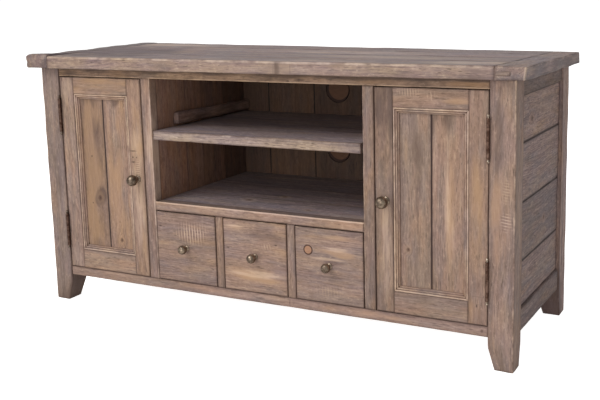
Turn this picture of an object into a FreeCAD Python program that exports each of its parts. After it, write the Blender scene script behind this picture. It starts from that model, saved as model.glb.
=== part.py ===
import FreeCAD, Part
import os

# A weathered pine tv unit: a planked top with breadboard ends on four square posts, a face frame
# with an open compartment over three drawers, a framed door each side, boarded sides and back.
# X runs left to right with zero at the middle, Z is up from the floor. While a piece is being
# made, Y is zero at the front of the face frame and grows to the back; write_node moves it so
# that the middle of the whole depth lies at zero.

# Whole unit, millimetres
BODY_W = 1350.0
BODY_D = 470.0
BODY_H = 664.0
TOP_T = 33.0
TOP_OVERHANG_SIDE = 25.0
TOP_OVERHANG_FRONT = 25.0
TOP_OVERHANG_BACK = 5.0
TOP_PLANKS = 4

# Top: breadboard ends on tongues
BREADBOARD_W = 68.0
TONGUE_L = 33.0
TONGUE_T = 10.0
TOP_EASE = 2.0

# Corner posts
POST_W = 60.0
POST_PROUD = 2.0
POST_EASE = 2.0
FOOT_TAPER_H = 53.0
FOOT_TAPER_X = 19.0
FOOT_TAPER_Y = 12.0

# Face frame
FRAME_T = 28.0
BOTTOM_RAIL_Z = 76.0
BOTTOM_RAIL_H = 25.0
TOP_RAIL_H = 22.0
MID_RAIL_TOP = 314.0
MID_RAIL_H = 23.0
INNER_STILE_W = 29.0
DIVIDER_W = 22.0
DRAWERS = 3
BOARD_EASE = 1.0

# Tenons and the room at the bottom of each mortise
TENON_T = 8.0
TENON_L = 22.0
STUB_L = 9.0
TENON_SHOULDER = 4.0
MORTISE_SPARE = 1.0

# Sides: boards in grooves between a top and a bottom rail
SIDE_RAIL_SET_BACK = 4.0
SIDE_RAIL_T = 22.0
SIDE_TOP_RAIL_H = 41.0
SIDE_BOTTOM_RAIL_H = 54.0
SIDE_BOARD_SET_BACK = 9.0
SIDE_BOARD_T = 14.0
SIDE_GROOVE = 8.0
SIDE_BOARD_PITCH = 137.5
SIDE_BOARDS = 4
SIDE_BOARD_V = 3.0
SIDE_RAIL_BEVEL = 4.0

# Back: boards in a rebate of the rear posts, two rails, two cable ports with plugs
BACK_RAIL_T = 20.0
BACK_RAIL_H = 40.0
BACK_BOARD_T = 10.0
BACK_BOARD_PITCH = 154.5
BACK_BOARD_MIN_W = 40.0
BORED_BOARD_X = 13.5
BACK_SET_IN = 5.0
BACK_REBATE = 10.0
PORT_R = 38.0
PORT_HEIGHT_SHARE = 0.52
PLUG_KERF = 2.5
PLUG_FLANGE = 4.5
PLUG_FLANGE_T = 3.5
SCREW_HEAD_R = 4.0
SCREW_HEAD_T = 2.0
SCREW_SHANK_R = 2.0
SCREW_EDGE = 24.0

# Inside: partitions, floors, shelves
PARTITION_T = 18.0
PARTITION_BOARD_SHARES = (0.29, 0.185, 0.26, 0.265)
FLOOR_T = 20.0
FLOOR_DADO = 6.0
BOTTOM_T = 16.0
BOTTOM_PLANKS = 3
SHELF_T = 24.0
SHELF_HEIGHT_SHARE = 0.506
SHELF_FRONT = 8.0
SHELF_LEFT_GAP = 1.5
SHELF_RIGHT_GAP = 7.0
SHELF_BACK_GAP = 3.0
CLEAT_W = 16.0
CLEAT_H = 16.0
CLEAT_SET_BACK = 105.0
BATTEN_T = 18.0
BATTEN_H = 34.0
BATTEN_GAP = 8.0
BATTEN_SET_BACK = 94.0
CUPBOARD_SHELF_T = 18.0
CATCH_W = 30.0
CATCH_D = 18.0
CATCH_H = 24.0
CATCH_DROP = 40.0
CATCH_NOSE_W = 16.0

# Doors
DOOR_GAP = 2.0
DOOR_W = 275.0
DOOR_T = 22.0
DOOR_STILE_W = 46.0
DOOR_TOP_RAIL_H = 46.0
DOOR_BOTTOM_RAIL_H = 52.0
DOOR_PANEL_T = 9.0
DOOR_PANEL_RECESS = 10.0
DOOR_PANEL_TONGUE = 8.0
DOOR_PANEL_V = 2.5
DOOR_TENON_L = 30.0
DOOR_EASE = 1.2
MOULDING_W = 14.0
MOULDING_FILLET = 5.0
MOULDING_SET_IN = 1.0
MOULDING_STEP = 2.0
MOULDING_BEAD = 5.0

# Door hinges: a finial butt hinge, its barrel standing in front of the post
HINGE_L = 92.0
HINGE_CENTRES_FROM_ENDS = 106.0
HINGE_LEAF_T = 1.5
HINGE_LEAF_W = 20.0
HINGE_LEAF_GAP = 0.6
HINGE_BARREL_R = 4.0
HINGE_BARREL_CLEAR = 0.3
HINGE_PIN_R = 2.0
HINGE_PIN_CLEAR = 0.05
HINGE_KNUCKLES = 5
HINGE_KNUCKLE_GAP = 0.25
HINGE_WEB_IN = 0.6
FINIAL_R = 3.6
FINIAL_NECK_L = 2.0
LEAF_SCREWS = 3
LEAF_SCREW_HEAD_R = 3.0
LEAF_SCREW_R = 1.5
LEAF_SCREW_L = 14.0

# Knobs
DOOR_KNOB_R = 15.0
DRAWER_KNOB_R = 12.0
KNOB_STAND_SHARE = 1.65
KNOB_NECK_SHARE = 0.32
KNOB_ROSE_SHARE = 0.72
KNOB_ROSE_T_SHARE = 0.2
KNOB_SHANK_R = 3.0

# Drawers
DRAWER_GAP = 2.0
DRAWER_FRONT_T = 20.0
DRAWER_SIDE_T = 12.0
DRAWER_BACK_GAP = 25.0
DRAWER_SIDE_DROP = 6.0
DRAWER_REBATE = 8.0
DRAWER_BOTTOM_T = 6.0
DRAWER_BOTTOM_UP = 8.0
DRAWER_BOTTOM_IN = 6.0
RUN_GAP = 0.5
REST_GAP = 0.3
GUIDE_H = 20.0
KICKER_OVERLAP = 14.0
DRAWER_EASE = 1.5

# One overrun for cuts that pass right through, and how close two equal coordinates are
OVER = 5.0
NEAR = 0.1

# Places worked out from the sizes
HALF_W = BODY_W / 2
LEFT = -HALF_W
POST_IN = LEFT + POST_W
FRONT_POST_Y = -POST_PROUD
FRONT_POST_BACK = FRONT_POST_Y + POST_W
REAR_POST_Y = BODY_D - POST_W
DOOR_X0 = POST_IN + DOOR_GAP
DOOR_X1 = DOOR_X0 + DOOR_W
STILE_X0 = DOOR_X1 + DOOR_GAP
STILE_X1 = STILE_X0 + INNER_STILE_W
OPENING_W = -STILE_X1 * 2
FRAME_BOTTOM = BOTTOM_RAIL_Z + BOTTOM_RAIL_H
FRAME_TOP = BODY_H - TOP_RAIL_H
MID_RAIL_Z = MID_RAIL_TOP - MID_RAIL_H
DOOR_Z0 = FRAME_BOTTOM + DOOR_GAP
DOOR_Z1 = FRAME_TOP - DOOR_GAP
BAY_W = (OPENING_W - DIVIDER_W * (DRAWERS - 1)) / DRAWERS
SHELF_Z = MID_RAIL_TOP + SHELF_HEIGHT_SHARE * (FRAME_TOP - MID_RAIL_TOP)
SHELF_TOP = SHELF_Z + SHELF_T
CUPBOARD_SHELF_Z = (DOOR_Z0 + DOOR_Z1) / 2
SIDE_PANEL_Z0 = BOTTOM_RAIL_Z + SIDE_BOTTOM_RAIL_H
SIDE_PANEL_Z1 = BODY_H - SIDE_TOP_RAIL_H
SIDE_RAIL_X0 = LEFT + SIDE_RAIL_SET_BACK
SIDE_RAIL_X1 = SIDE_RAIL_X0 + SIDE_RAIL_T
SIDE_BOARD_X0 = LEFT + SIDE_BOARD_SET_BACK
SIDE_BOARD_X1 = SIDE_BOARD_X0 + SIDE_BOARD_T
BACK_BOARD_Y1 = BODY_D - BACK_SET_IN
BACK_BOARD_Y0 = BACK_BOARD_Y1 - BACK_BOARD_T
BACK_RAIL_Y0 = BACK_BOARD_Y0 - BACK_RAIL_T
DRAWER_L = BACK_RAIL_Y0 - DRAWER_BACK_GAP
BACK_BOARD_X0 = POST_IN - BACK_REBATE
PARTITION_X0 = STILE_X1 - PARTITION_T
FLOOR_Z = MID_RAIL_TOP - FLOOR_T
BOTTOM_Z = FRAME_BOTTOM - BOTTOM_T
TOP_X0 = LEFT - TOP_OVERHANG_SIDE
TOP_Y0 = -TOP_OVERHANG_FRONT
TOP_Y1 = BODY_D + TOP_OVERHANG_BACK
TOP_D = TOP_Y1 - TOP_Y0
PLANK_X0 = TOP_X0 + BREADBOARD_W
TONGUE_Z0 = BODY_H + (TOP_T - TONGUE_T) / 2
PIN_X = POST_IN + DOOR_GAP / 2
PIN_Y = -(POST_PROUD + HINGE_BARREL_R + HINGE_BARREL_CLEAR)
KNOB_REACH = DOOR_KNOB_R * (1 + KNOB_STAND_SHARE)
DEPTH_MIDDLE = (TOP_Y1 - max(KNOB_REACH, TOP_OVERHANG_FRONT)) / 2


def box(x0, x1, y0, y1, z0, z1):
    """A plain block between two corners."""
    return Part.makeBox(x1 - x0, y1 - y0, z1 - z0, FreeCAD.Vector(x0, y0, z0))


def board(x0, x1, y0, y1, z0, z1, ease=BOARD_EASE):
    """A block with every edge eased by a small chamfer."""
    block = box(x0, x1, y0, y1, z0, z1)
    return block.makeChamfer(ease, block.Edges)


def mirrored(shape):
    """The same shape on the other side of the middle plane."""
    return shape.mirror(FreeCAD.Vector(0, 0, 0), FreeCAD.Vector(1, 0, 0))


def both(shapes):
    """Shapes with their mirror images."""
    return list(shapes) + [mirrored(s) for s in shapes]


def joined(shape, *others):
    """One solid out of pieces of the same stick."""
    return shape.fuse(list(others)).removeSplitter()


def less(shape, *others):
    """A shape with others cut out of it."""
    return shape.cut(list(others)) if others else shape


def write_node(name, *solids):
    """Write one sub-part, moved so that the middle of the depth is at zero."""
    shape = solids[0] if len(solids) == 1 else Part.makeCompound(list(solids))
    moved = shape.copy()
    moved.translate(FreeCAD.Vector(0, -DEPTH_MIDDLE, 0))
    moved.exportStep("parts/" + name + ".step")


def cylinder(radius, length, at, along):
    """A round bar from a point, along a direction."""
    return Part.makeCylinder(radius, length, at, along)


def tenon_x(x_face, side, y0, y1, z0, z1, length, shoulder=TENON_SHOULDER):
    """A tenon that runs along X from a rail's end, out to the left (-1) or right (+1)."""
    middle = (y0 + y1) / 2
    ends = sorted((x_face, x_face + side * length))
    return box(ends[0], ends[1], middle - TENON_T / 2, middle + TENON_T / 2, z0 + shoulder, z1 - shoulder)


def tenon_y(y_face, side, x0, x1, z0, z1, length, shoulder=TENON_SHOULDER):
    """A tenon that runs along Y from a side rail's end, to the front (-1) or back (+1)."""
    middle = (x0 + x1) / 2
    ends = sorted((y_face, y_face + side * length))
    return box(middle - TENON_T / 2, middle + TENON_T / 2, ends[0], ends[1], z0 + shoulder, z1 - shoulder)


def tenon_z(z_face, side, x0, x1, y0, y1, length, shoulder=TENON_SHOULDER):
    """A stub tenon that runs up (+1) or down (-1) from the end of an upright."""
    middle = (y0 + y1) / 2
    ends = sorted((z_face, z_face + side * length))
    return box(x0 + shoulder, x1 - shoulder, middle - TENON_T / 2, middle + TENON_T / 2, ends[0], ends[1])


# Top

def top_planks():
    """Long planks side by side, each with a tongue at both ends."""
    width = TOP_D / TOP_PLANKS
    planks = []
    for i in range(TOP_PLANKS):
        y0 = TOP_Y0 + i * width
        y1 = y0 + width
        plank = board(PLANK_X0, -PLANK_X0, y0, y1, BODY_H, BODY_H + TOP_T, TOP_EASE)
        tongue = box(PLANK_X0 - TONGUE_L, TONGUE_L - PLANK_X0, y0, y1, TONGUE_Z0, TONGUE_Z0 + TONGUE_T)
        planks.append(joined(plank, tongue))
    return planks


def breadboard():
    """The cross board at the left end, grooved right through for the tongues."""
    end = board(TOP_X0, PLANK_X0, TOP_Y0, TOP_Y1, BODY_H, BODY_H + TOP_T, TOP_EASE)
    groove_x0 = PLANK_X0 - TONGUE_L - MORTISE_SPARE
    groove = box(groove_x0, PLANK_X0 + OVER, TOP_Y0 - OVER, TOP_Y1 + OVER, TONGUE_Z0, TONGUE_Z0 + TONGUE_T)
    return less(end, groove)


# Corner posts

def post_section(x0, x1, y0, y1, z):
    """The outline of a square post at one height, with its corners eased."""
    e = POST_EASE
    corners = [(x0 + e, y0), (x1 - e, y0), (x1, y0 + e), (x1, y1 - e),
               (x1 - e, y1), (x0 + e, y1), (x0, y1 - e), (x0, y0 + e)]
    points = [FreeCAD.Vector(x, y, z) for x, y in corners]
    return Part.makePolygon(points + points[:1])


def post_blank(y0, foot_y0, foot_y1):
    """A left-hand post whose foot tapers on its inner faces."""
    x0, x1, y1 = LEFT, POST_IN, y0 + POST_W
    foot = post_section(x0, x1 - FOOT_TAPER_X, foot_y0, foot_y1, 0)
    knee = post_section(x0, x1, y0, y1, FOOT_TAPER_H)
    head = post_section(x0, x1, y0, y1, BODY_H)
    lower = Part.makeLoft([foot, knee], True, True)
    upper = Part.makeLoft([knee, head], True, True)
    return joined(upper, lower)


def side_board_groove(y0, y1):
    """The housing for the ends of the side boards."""
    return box(SIDE_BOARD_X0, SIDE_BOARD_X1, y0, y1, SIDE_PANEL_Z0 - SIDE_GROOVE, SIDE_PANEL_Z1 + SIDE_GROOVE)


def front_post():
    """The left front post, with mortises for the frame and side rails and the hinge seats."""
    blank = post_blank(FRONT_POST_Y, FRONT_POST_Y, FRONT_POST_BACK - FOOT_TAPER_Y)
    deep = TENON_L + MORTISE_SPARE
    cuts = [tenon_x(POST_IN, -1, 0, FRAME_T, z0, z1, deep) for z0, z1 in frame_rail_levels()]
    cuts += side_tenons(FRONT_POST_BACK, -1, deep)
    cuts.append(side_board_groove(FRONT_POST_BACK - SIDE_GROOVE, FRONT_POST_BACK))
    cuts += leaf_cuts(-1)
    return less(blank, *cuts)


def rear_post():
    """The left rear post, rebated for the back boards."""
    blank = post_blank(REAR_POST_Y, REAR_POST_Y + FOOT_TAPER_Y, BODY_D)
    deep = TENON_L + MORTISE_SPARE
    cuts = [tenon_x(POST_IN, -1, BACK_RAIL_Y0, BACK_BOARD_Y0, z0, z1, deep) for z0, z1 in back_rail_levels()]
    cuts += side_tenons(REAR_POST_Y, 1, deep)
    cuts.append(side_board_groove(REAR_POST_Y, REAR_POST_Y + SIDE_GROOVE))
    rebate_x1, rebate_y1 = POST_IN + OVER, BODY_D + OVER
    cuts.append(box(BACK_BOARD_X0, rebate_x1, BACK_BOARD_Y0, rebate_y1, BOTTOM_RAIL_Z, BODY_H + OVER))
    return less(blank, *cuts)


# Face frame

def frame_rail_levels():
    """Heights of the long front rails that run from post to post."""
    return [(BOTTOM_RAIL_Z, FRAME_BOTTOM), (FRAME_TOP, BODY_H)]


def side_rail_levels():
    """Heights of the side rails."""
    return [(BOTTOM_RAIL_Z, SIDE_PANEL_Z0), (SIDE_PANEL_Z1, BODY_H)]


def back_rail_levels():
    """Heights of the back rails."""
    return [(BOTTOM_RAIL_Z, BOTTOM_RAIL_Z + BACK_RAIL_H), (BODY_H - BACK_RAIL_H, BODY_H)]


def divider_places():
    """Left edge of each upright between two drawers."""
    return [STILE_X1 + BAY_W + i * (BAY_W + DIVIDER_W) for i in range(DRAWERS - 1)]


def frame_rail(z0, z1, mortises):
    """A long front rail with a tenon at each end and mortises for the uprights."""
    rail = board(POST_IN, -POST_IN, 0, FRAME_T, z0, z1)
    left = tenon_x(POST_IN, -1, 0, FRAME_T, z0, z1, TENON_L)
    return less(joined(rail, left, mirrored(left)), *mortises)


def stile_mortises(z_face, side):
    """Mortises for the two inner stiles in a long rail."""
    one = tenon_z(z_face, side, STILE_X0, STILE_X1, 0, FRAME_T, STUB_L + MORTISE_SPARE)
    return both([one])


def divider_mortises(z_face, side):
    """Mortises for the drawer dividers."""
    deep = STUB_L + MORTISE_SPARE
    return [tenon_z(z_face, side, x, x + DIVIDER_W, 0, FRAME_T, deep) for x in divider_places()]


def top_rail():
    """The front rail under the top."""
    return frame_rail(FRAME_TOP, BODY_H, stile_mortises(FRAME_TOP, 1))


def bottom_rail():
    """The front rail under the doors and drawers."""
    cuts = stile_mortises(FRAME_BOTTOM, -1) + divider_mortises(FRAME_BOTTOM, -1)
    return frame_rail(BOTTOM_RAIL_Z, FRAME_BOTTOM, cuts)


def mid_rail():
    """The short rail over the drawers, tenoned into the inner stiles."""
    rail = board(STILE_X1, -STILE_X1, 0, FRAME_T, MID_RAIL_Z, MID_RAIL_TOP)
    left = tenon_x(STILE_X1, -1, 0, FRAME_T, MID_RAIL_Z, MID_RAIL_TOP, STUB_L)
    return less(joined(rail, left, mirrored(left)), *divider_mortises(MID_RAIL_Z, 1))


def inner_stile():
    """The left upright between the door and the open compartment."""
    stile = board(STILE_X0, STILE_X1, 0, FRAME_T, FRAME_BOTTOM, FRAME_TOP)
    foot = tenon_z(FRAME_BOTTOM, -1, STILE_X0, STILE_X1, 0, FRAME_T, STUB_L)
    head = tenon_z(FRAME_TOP, 1, STILE_X0, STILE_X1, 0, FRAME_T, STUB_L)
    mortise = tenon_x(STILE_X1, -1, 0, FRAME_T, MID_RAIL_Z, MID_RAIL_TOP, STUB_L + MORTISE_SPARE)
    return less(joined(stile, foot, head), mortise)


def drawer_dividers():
    """Short uprights between the drawers."""
    uprights = []
    for x in divider_places():
        bar = board(x, x + DIVIDER_W, 0, FRAME_T, FRAME_BOTTOM, MID_RAIL_Z)
        foot = tenon_z(FRAME_BOTTOM, -1, x, x + DIVIDER_W, 0, FRAME_T, STUB_L)
        head = tenon_z(MID_RAIL_Z, 1, x, x + DIVIDER_W, 0, FRAME_T, STUB_L)
        uprights.append(joined(bar, foot, head))
    return uprights


# Sides

def side_tenons(y_face, side, length):
    """The tenons of both side rails at one end, clear of the groove for the boards."""
    return [tenon_y(y_face, side, SIDE_RAIL_X0, SIDE_RAIL_X1, z0, z1, length, SIDE_GROOVE)
            for z0, z1 in side_rail_levels()]


def side_rails():
    """Top and bottom rail of the left side, grooved for the boards; the lower one is bevelled."""
    rails = []
    groove = side_board_groove(FRONT_POST_BACK, REAR_POST_Y)
    fronts, backs = side_tenons(FRONT_POST_BACK, -1, TENON_L), side_tenons(REAR_POST_Y, 1, TENON_L)
    for (z0, z1), front, back in zip(side_rail_levels(), fronts, backs):
        rail = board(SIDE_RAIL_X0, SIDE_RAIL_X1, FRONT_POST_BACK, REAR_POST_Y, z0, z1)
        rails.append(less(joined(rail, front, back), groove))
    rails[0] = less(rails[0], side_rail_bevel())
    return rails


def side_rail_bevel():
    """The wedge planed off the upper outer edge of the lower side rail."""
    outer, inner = SIDE_RAIL_X0 - OVER, SIDE_RAIL_X0 + SIDE_RAIL_BEVEL + OVER
    low, high = SIDE_PANEL_Z0 - SIDE_RAIL_BEVEL - OVER, SIDE_PANEL_Z0 + OVER
    corners = [(outer, low), (inner, high), (outer, high)]
    points = [FreeCAD.Vector(x, FRONT_POST_BACK, z) for x, z in corners]
    face = Part.Face(Part.makePolygon(points + points[:1]))
    return face.extrude(FreeCAD.Vector(0, REAR_POST_Y - FRONT_POST_BACK, 0))


def side_board_joints():
    """Heights of the grooves between the side boards, centred in the panel."""
    middle = (SIDE_PANEL_Z0 + SIDE_PANEL_Z1) / 2
    first = middle - SIDE_BOARD_PITCH * (SIDE_BOARDS - 2) / 2
    return [first + i * SIDE_BOARD_PITCH for i in range(SIDE_BOARDS - 1)]


def side_boards():
    """Horizontal boards of the left side, housed all round, with a V where two of them meet."""
    levels = [SIDE_PANEL_Z0 - SIDE_GROOVE] + side_board_joints() + [SIDE_PANEL_Z1 + SIDE_GROOVE]
    y0, y1 = FRONT_POST_BACK - SIDE_GROOVE, REAR_POST_Y + SIDE_GROOVE
    boards = []
    for low, high in zip(levels[:-1], levels[1:]):
        block = box(SIDE_BOARD_X0, SIDE_BOARD_X1, y0, y1, low, high)
        outer = [e for e in block.Edges if along_y_at(e, SIDE_BOARD_X0)]
        boards.append(block.makeChamfer(SIDE_BOARD_V, outer))
    return boards


def along_y_at(edge, x):
    """Whether an edge runs along Y at a given X."""
    ends = [v.Point for v in edge.Vertexes]
    return all(abs(p.x - x) < NEAR for p in ends) and abs(ends[0].y - ends[-1].y) > NEAR


# Back

def back_rails():
    """The two rails that the back boards are screwed to."""
    rails = []
    for z0, z1 in back_rail_levels():
        rail = board(POST_IN, -POST_IN, BACK_RAIL_Y0, BACK_BOARD_Y0, z0, z1)
        left = tenon_x(POST_IN, -1, BACK_RAIL_Y0, BACK_BOARD_Y0, z0, z1, TENON_L)
        rails.append(joined(rail, left, mirrored(left)))
    return rails


def back_board_joints():
    """Places of the joints between the back boards, counted from the bored board near the middle."""
    count = int(-BACK_BOARD_X0 / BACK_BOARD_PITCH) + 1
    places = [BORED_BOARD_X + (k + 0.5) * BACK_BOARD_PITCH for k in range(-count, count)]
    return [x for x in places if abs(x) < -BACK_BOARD_X0 - BACK_BOARD_MIN_W]


def ports():
    """Centres of the cable ports in the bored board, one over the loose shelf and one under it."""
    spaces = [(SHELF_TOP, FRAME_TOP), (MID_RAIL_TOP, SHELF_Z)]
    levels = [low + PORT_HEIGHT_SHARE * (high - low) for low, high in spaces]
    return [FreeCAD.Vector(BORED_BOARD_X, BACK_BOARD_Y0, z) for z in levels]


def back_boards():
    """Upright boards across the whole back, one of them bored for cables."""
    edges = [BACK_BOARD_X0] + back_board_joints() + [-BACK_BOARD_X0]
    along = FreeCAD.Vector(0, 1, 0)
    boards = []
    for x0, x1 in zip(edges[:-1], edges[1:]):
        plank = board(x0, x1, BACK_BOARD_Y0, BACK_BOARD_Y1, BOTTOM_RAIL_Z, BODY_H)
        holes = [cylinder(PORT_R, BACK_BOARD_T, at, along) for at in ports() if x0 < BORED_BOARD_X < x1]
        boards.append(less(plank, *holes, *screw_shanks(x0, x1)))
    return boards


def cable_plug(at):
    """A round plug in a port, with a flange behind the board that stops it."""
    along = FreeCAD.Vector(0, 1, 0)
    plug = cylinder(PORT_R - PLUG_KERF, BACK_BOARD_T + REST_GAP + PLUG_FLANGE_T, at, along)
    behind = at + FreeCAD.Vector(0, BACK_BOARD_T + REST_GAP, 0)
    return joined(plug, cylinder(PORT_R + PLUG_FLANGE, PLUG_FLANGE_T, behind, along))


def screw_places(x0, x1):
    """Two screws near the foot and two near the head of a back board."""
    levels = [(z0 + z1) / 2 for z0, z1 in back_rail_levels()]
    return [(x, z) for x in (x0 + SCREW_EDGE, x1 - SCREW_EDGE) for z in levels if clear_of_posts(x)]


def clear_of_posts(x):
    """Whether a screw at x enters the rail and not a rear post."""
    return abs(x) < -POST_IN - SCREW_HEAD_R


def screw_shanks(x0, x1):
    """The shanks that pass through a back board."""
    along = FreeCAD.Vector(0, 1, 0)
    places = [FreeCAD.Vector(x, BACK_BOARD_Y0, z) for x, z in screw_places(x0, x1)]
    return [cylinder(SCREW_SHANK_R, BACK_BOARD_T, at, along) for at in places]


def back_screws():
    """Round-headed screws through the back boards."""
    edges = [BACK_BOARD_X0] + back_board_joints() + [-BACK_BOARD_X0]
    along = FreeCAD.Vector(0, 1, 0)
    screws = []
    for x0, x1 in zip(edges[:-1], edges[1:]):
        for (x, z), shank in zip(screw_places(x0, x1), screw_shanks(x0, x1)):
            head = cylinder(SCREW_HEAD_R, SCREW_HEAD_T, FreeCAD.Vector(x, BACK_BOARD_Y1, z), along)
            screws.append(joined(shank, head))
    return screws


# Inside

def partition():
    """Upright boards of the left partition, housed for the floor and notched for the back rails."""
    rails = [box(LEFT, HALF_W, BACK_RAIL_Y0, BACK_BOARD_Y0, z0, z1) for z0, z1 in back_rail_levels()]
    depth = BACK_BOARD_Y0 - FRAME_T
    boards = []
    y = FRAME_T
    for share in PARTITION_BOARD_SHARES:
        width = depth * share
        plank = board(PARTITION_X0, STILE_X1, y, y + width, FRAME_BOTTOM, BODY_H)
        boards.append(less(plank, centre_floor_blank(), *rails))
        y += width
    return boards


def centre_floor_blank():
    """The space of the floor under the open compartment, with its housed ends."""
    end = STILE_X1 - FLOOR_DADO
    return box(end, -end, FRAME_T, BACK_BOARD_Y0, FLOOR_Z, MID_RAIL_TOP)


def cupboard_shelf():
    """The fixed shelf of the left cupboard."""
    z1 = CUPBOARD_SHELF_Z + CUPBOARD_SHELF_T
    return board(SIDE_BOARD_X1, PARTITION_X0, FRONT_POST_BACK, REAR_POST_Y, CUPBOARD_SHELF_Z, z1)


def shelf_cleats():
    """Cleats under the loose shelf and under the left cupboard shelf."""
    z1 = SHELF_Z - REST_GAP
    y1 = BACK_BOARD_Y0 - CLEAT_SET_BACK
    cleats = [board(STILE_X1, STILE_X1 + CLEAT_W, CLEAT_SET_BACK, y1, z1 - CLEAT_H, z1)]
    z0 = CUPBOARD_SHELF_Z - CLEAT_H
    y0, y1 = FRONT_POST_BACK, REAR_POST_Y
    cleats.append(board(SIDE_BOARD_X1, SIDE_BOARD_X1 + CLEAT_W, y0, y1, z0, CUPBOARD_SHELF_Z))
    cleats.append(board(PARTITION_X0 - CLEAT_W, PARTITION_X0, y0, y1, z0, CUPBOARD_SHELF_Z))
    return cleats


def wall_batten():
    """The batten across the boards of the left partition, just above the loose shelf."""
    z0 = SHELF_TOP + BATTEN_GAP
    return board(STILE_X1, STILE_X1 + BATTEN_T, BATTEN_SET_BACK, BACK_BOARD_Y0, z0, z0 + BATTEN_H)


def loose_shelf():
    """The shelf that lies on its cleats and draws out."""
    x0, x1 = STILE_X1 + SHELF_LEFT_GAP, -STILE_X1 - SHELF_RIGHT_GAP
    return board(x0, x1, SHELF_FRONT, BACK_BOARD_Y0 - SHELF_BACK_GAP, SHELF_Z, SHELF_TOP)


def bottom_boards():
    """Long boards that close the underside, notched round the posts."""
    width = (BACK_RAIL_Y0 - FRAME_T) / BOTTOM_PLANKS
    posts = both([box(LEFT, POST_IN, FRONT_POST_Y, FRONT_POST_BACK, 0, BODY_H),
                  box(LEFT, POST_IN, REAR_POST_Y, BODY_D, 0, BODY_H)])
    boards = []
    for i in range(BOTTOM_PLANKS):
        y0 = FRAME_T + i * width
        plank = board(SIDE_RAIL_X1, -SIDE_RAIL_X1, y0, y0 + width, BOTTOM_Z, FRAME_BOTTOM)
        boards.append(less(plank, *posts))
    return boards


def drawer_guides():
    """Strips behind the dividers that guide the drawers, and kickers that keep them from tipping."""
    strips = []
    kicker_z = MID_RAIL_Z - DRAWER_GAP - DRAWER_SIDE_DROP + REST_GAP
    for x in divider_places():
        strips.append(box(x, x + DIVIDER_W, FRAME_T, BACK_RAIL_Y0, FRAME_BOTTOM, FRAME_BOTTOM + GUIDE_H))
        x0, x1 = x - KICKER_OVERLAP, x + DIVIDER_W + KICKER_OVERLAP
        strips.append(box(x0, x1, FRAME_T, BACK_RAIL_Y0, kicker_z, FLOOR_Z))
    strips += both([box(STILE_X1, STILE_X1 + KICKER_OVERLAP, FRAME_T, BACK_RAIL_Y0, kicker_z, FLOOR_Z)])
    return strips


def door_catch():
    """The block on the left partition whose nose stops the door's free edge."""
    z1 = DOOR_Z1 - CATCH_DROP
    x0 = PARTITION_X0 - CATCH_W
    block = box(x0, PARTITION_X0, FRAME_T, FRAME_T + CATCH_D, z1 - CATCH_H, z1)
    nose = box(x0, x0 + CATCH_NOSE_W, DOOR_T + REST_GAP, FRAME_T + CATCH_D, z1 - CATCH_H, z1)
    return joined(block, nose)


# Hinges

def hinge_heights():
    """Heights of the middles of the two hinges of a door."""
    return [DOOR_Z0 + HINGE_CENTRES_FROM_ENDS, DOOR_Z1 - HINGE_CENTRES_FROM_ENDS]


def leaf_sides(side):
    """The two X faces of a leaf, on the post (-1) or on the door (+1)."""
    inner = PIN_X + side * HINGE_LEAF_GAP / 2
    return sorted((inner, inner + side * HINGE_LEAF_T))


def leaf_front(side):
    """Where a leaf begins: flush with the face of the post or of the door."""
    return -POST_PROUD if side < 0 else 0


def leaf_plate(side, z):
    """The flat of a leaf on the post (-1) or on the door (+1)."""
    x0, x1 = leaf_sides(side)
    y0 = leaf_front(side)
    return box(x0, x1, y0, y0 + HINGE_LEAF_W, z - HINGE_L / 2, z + HINGE_L / 2)


def leaf_screws(side, z):
    """Countersunk screws of one leaf, their heads flush with it."""
    step = HINGE_L / LEAF_SCREWS
    lowest = z - (HINGE_L - step) / 2
    inner = PIN_X + side * HINGE_LEAF_GAP / 2
    out = FreeCAD.Vector(side, 0, 0)
    screws = []
    for i in range(LEAF_SCREWS):
        at = FreeCAD.Vector(inner, leaf_front(side) + HINGE_LEAF_W / 2, lowest + i * step)
        head = Part.makeCone(LEAF_SCREW_HEAD_R, LEAF_SCREW_R, HINGE_LEAF_T, at, out)
        screws.append(joined(head, cylinder(LEAF_SCREW_R, LEAF_SCREW_L, at, out)))
    return screws


def leaf_cuts(side):
    """What both leaves and their screws take out of the post or of the door."""
    cuts = []
    for z in hinge_heights():
        cuts += [leaf_plate(side, z)] + leaf_screws(side, z)
    return cuts


def knuckle_spans(z, parity):
    """Heights of every other knuckle of a hinge, starting with the first (0) or second (1)."""
    step = HINGE_L / HINGE_KNUCKLES
    spans = []
    for i in range(parity, HINGE_KNUCKLES, 2):
        low = z - HINGE_L / 2 + i * step
        spans.append((low + HINGE_KNUCKLE_GAP / 2, low + step - HINGE_KNUCKLE_GAP / 2))
    return spans


def hinge_leaf(side, z):
    """One leaf with its knuckles and screws; the post's leaf has the end knuckles."""
    leaf = leaf_plate(side, z)
    up = FreeCAD.Vector(0, 0, 1)
    x0, x1 = leaf_sides(side)
    bore = cylinder(HINGE_PIN_R + HINGE_PIN_CLEAR, HINGE_L, FreeCAD.Vector(PIN_X, PIN_Y, z - HINGE_L / 2), up)
    web_front = PIN_Y + HINGE_PIN_R + HINGE_WEB_IN
    for low, high in knuckle_spans(z, 0 if side < 0 else 1):
        tube = cylinder(HINGE_BARREL_R, high - low, FreeCAD.Vector(PIN_X, PIN_Y, low), up)
        leaf = joined(leaf, tube, box(x0, x1, web_front, leaf_front(side), low, high))
    screws = leaf_screws(side, z)
    return [less(leaf, bore, *screws)] + screws


def hinge_leaves(side):
    """Both leaves of the left door's hinges, on the post (-1) or on the door (+1)."""
    return [solid for z in hinge_heights() for solid in hinge_leaf(side, z)]


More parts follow.
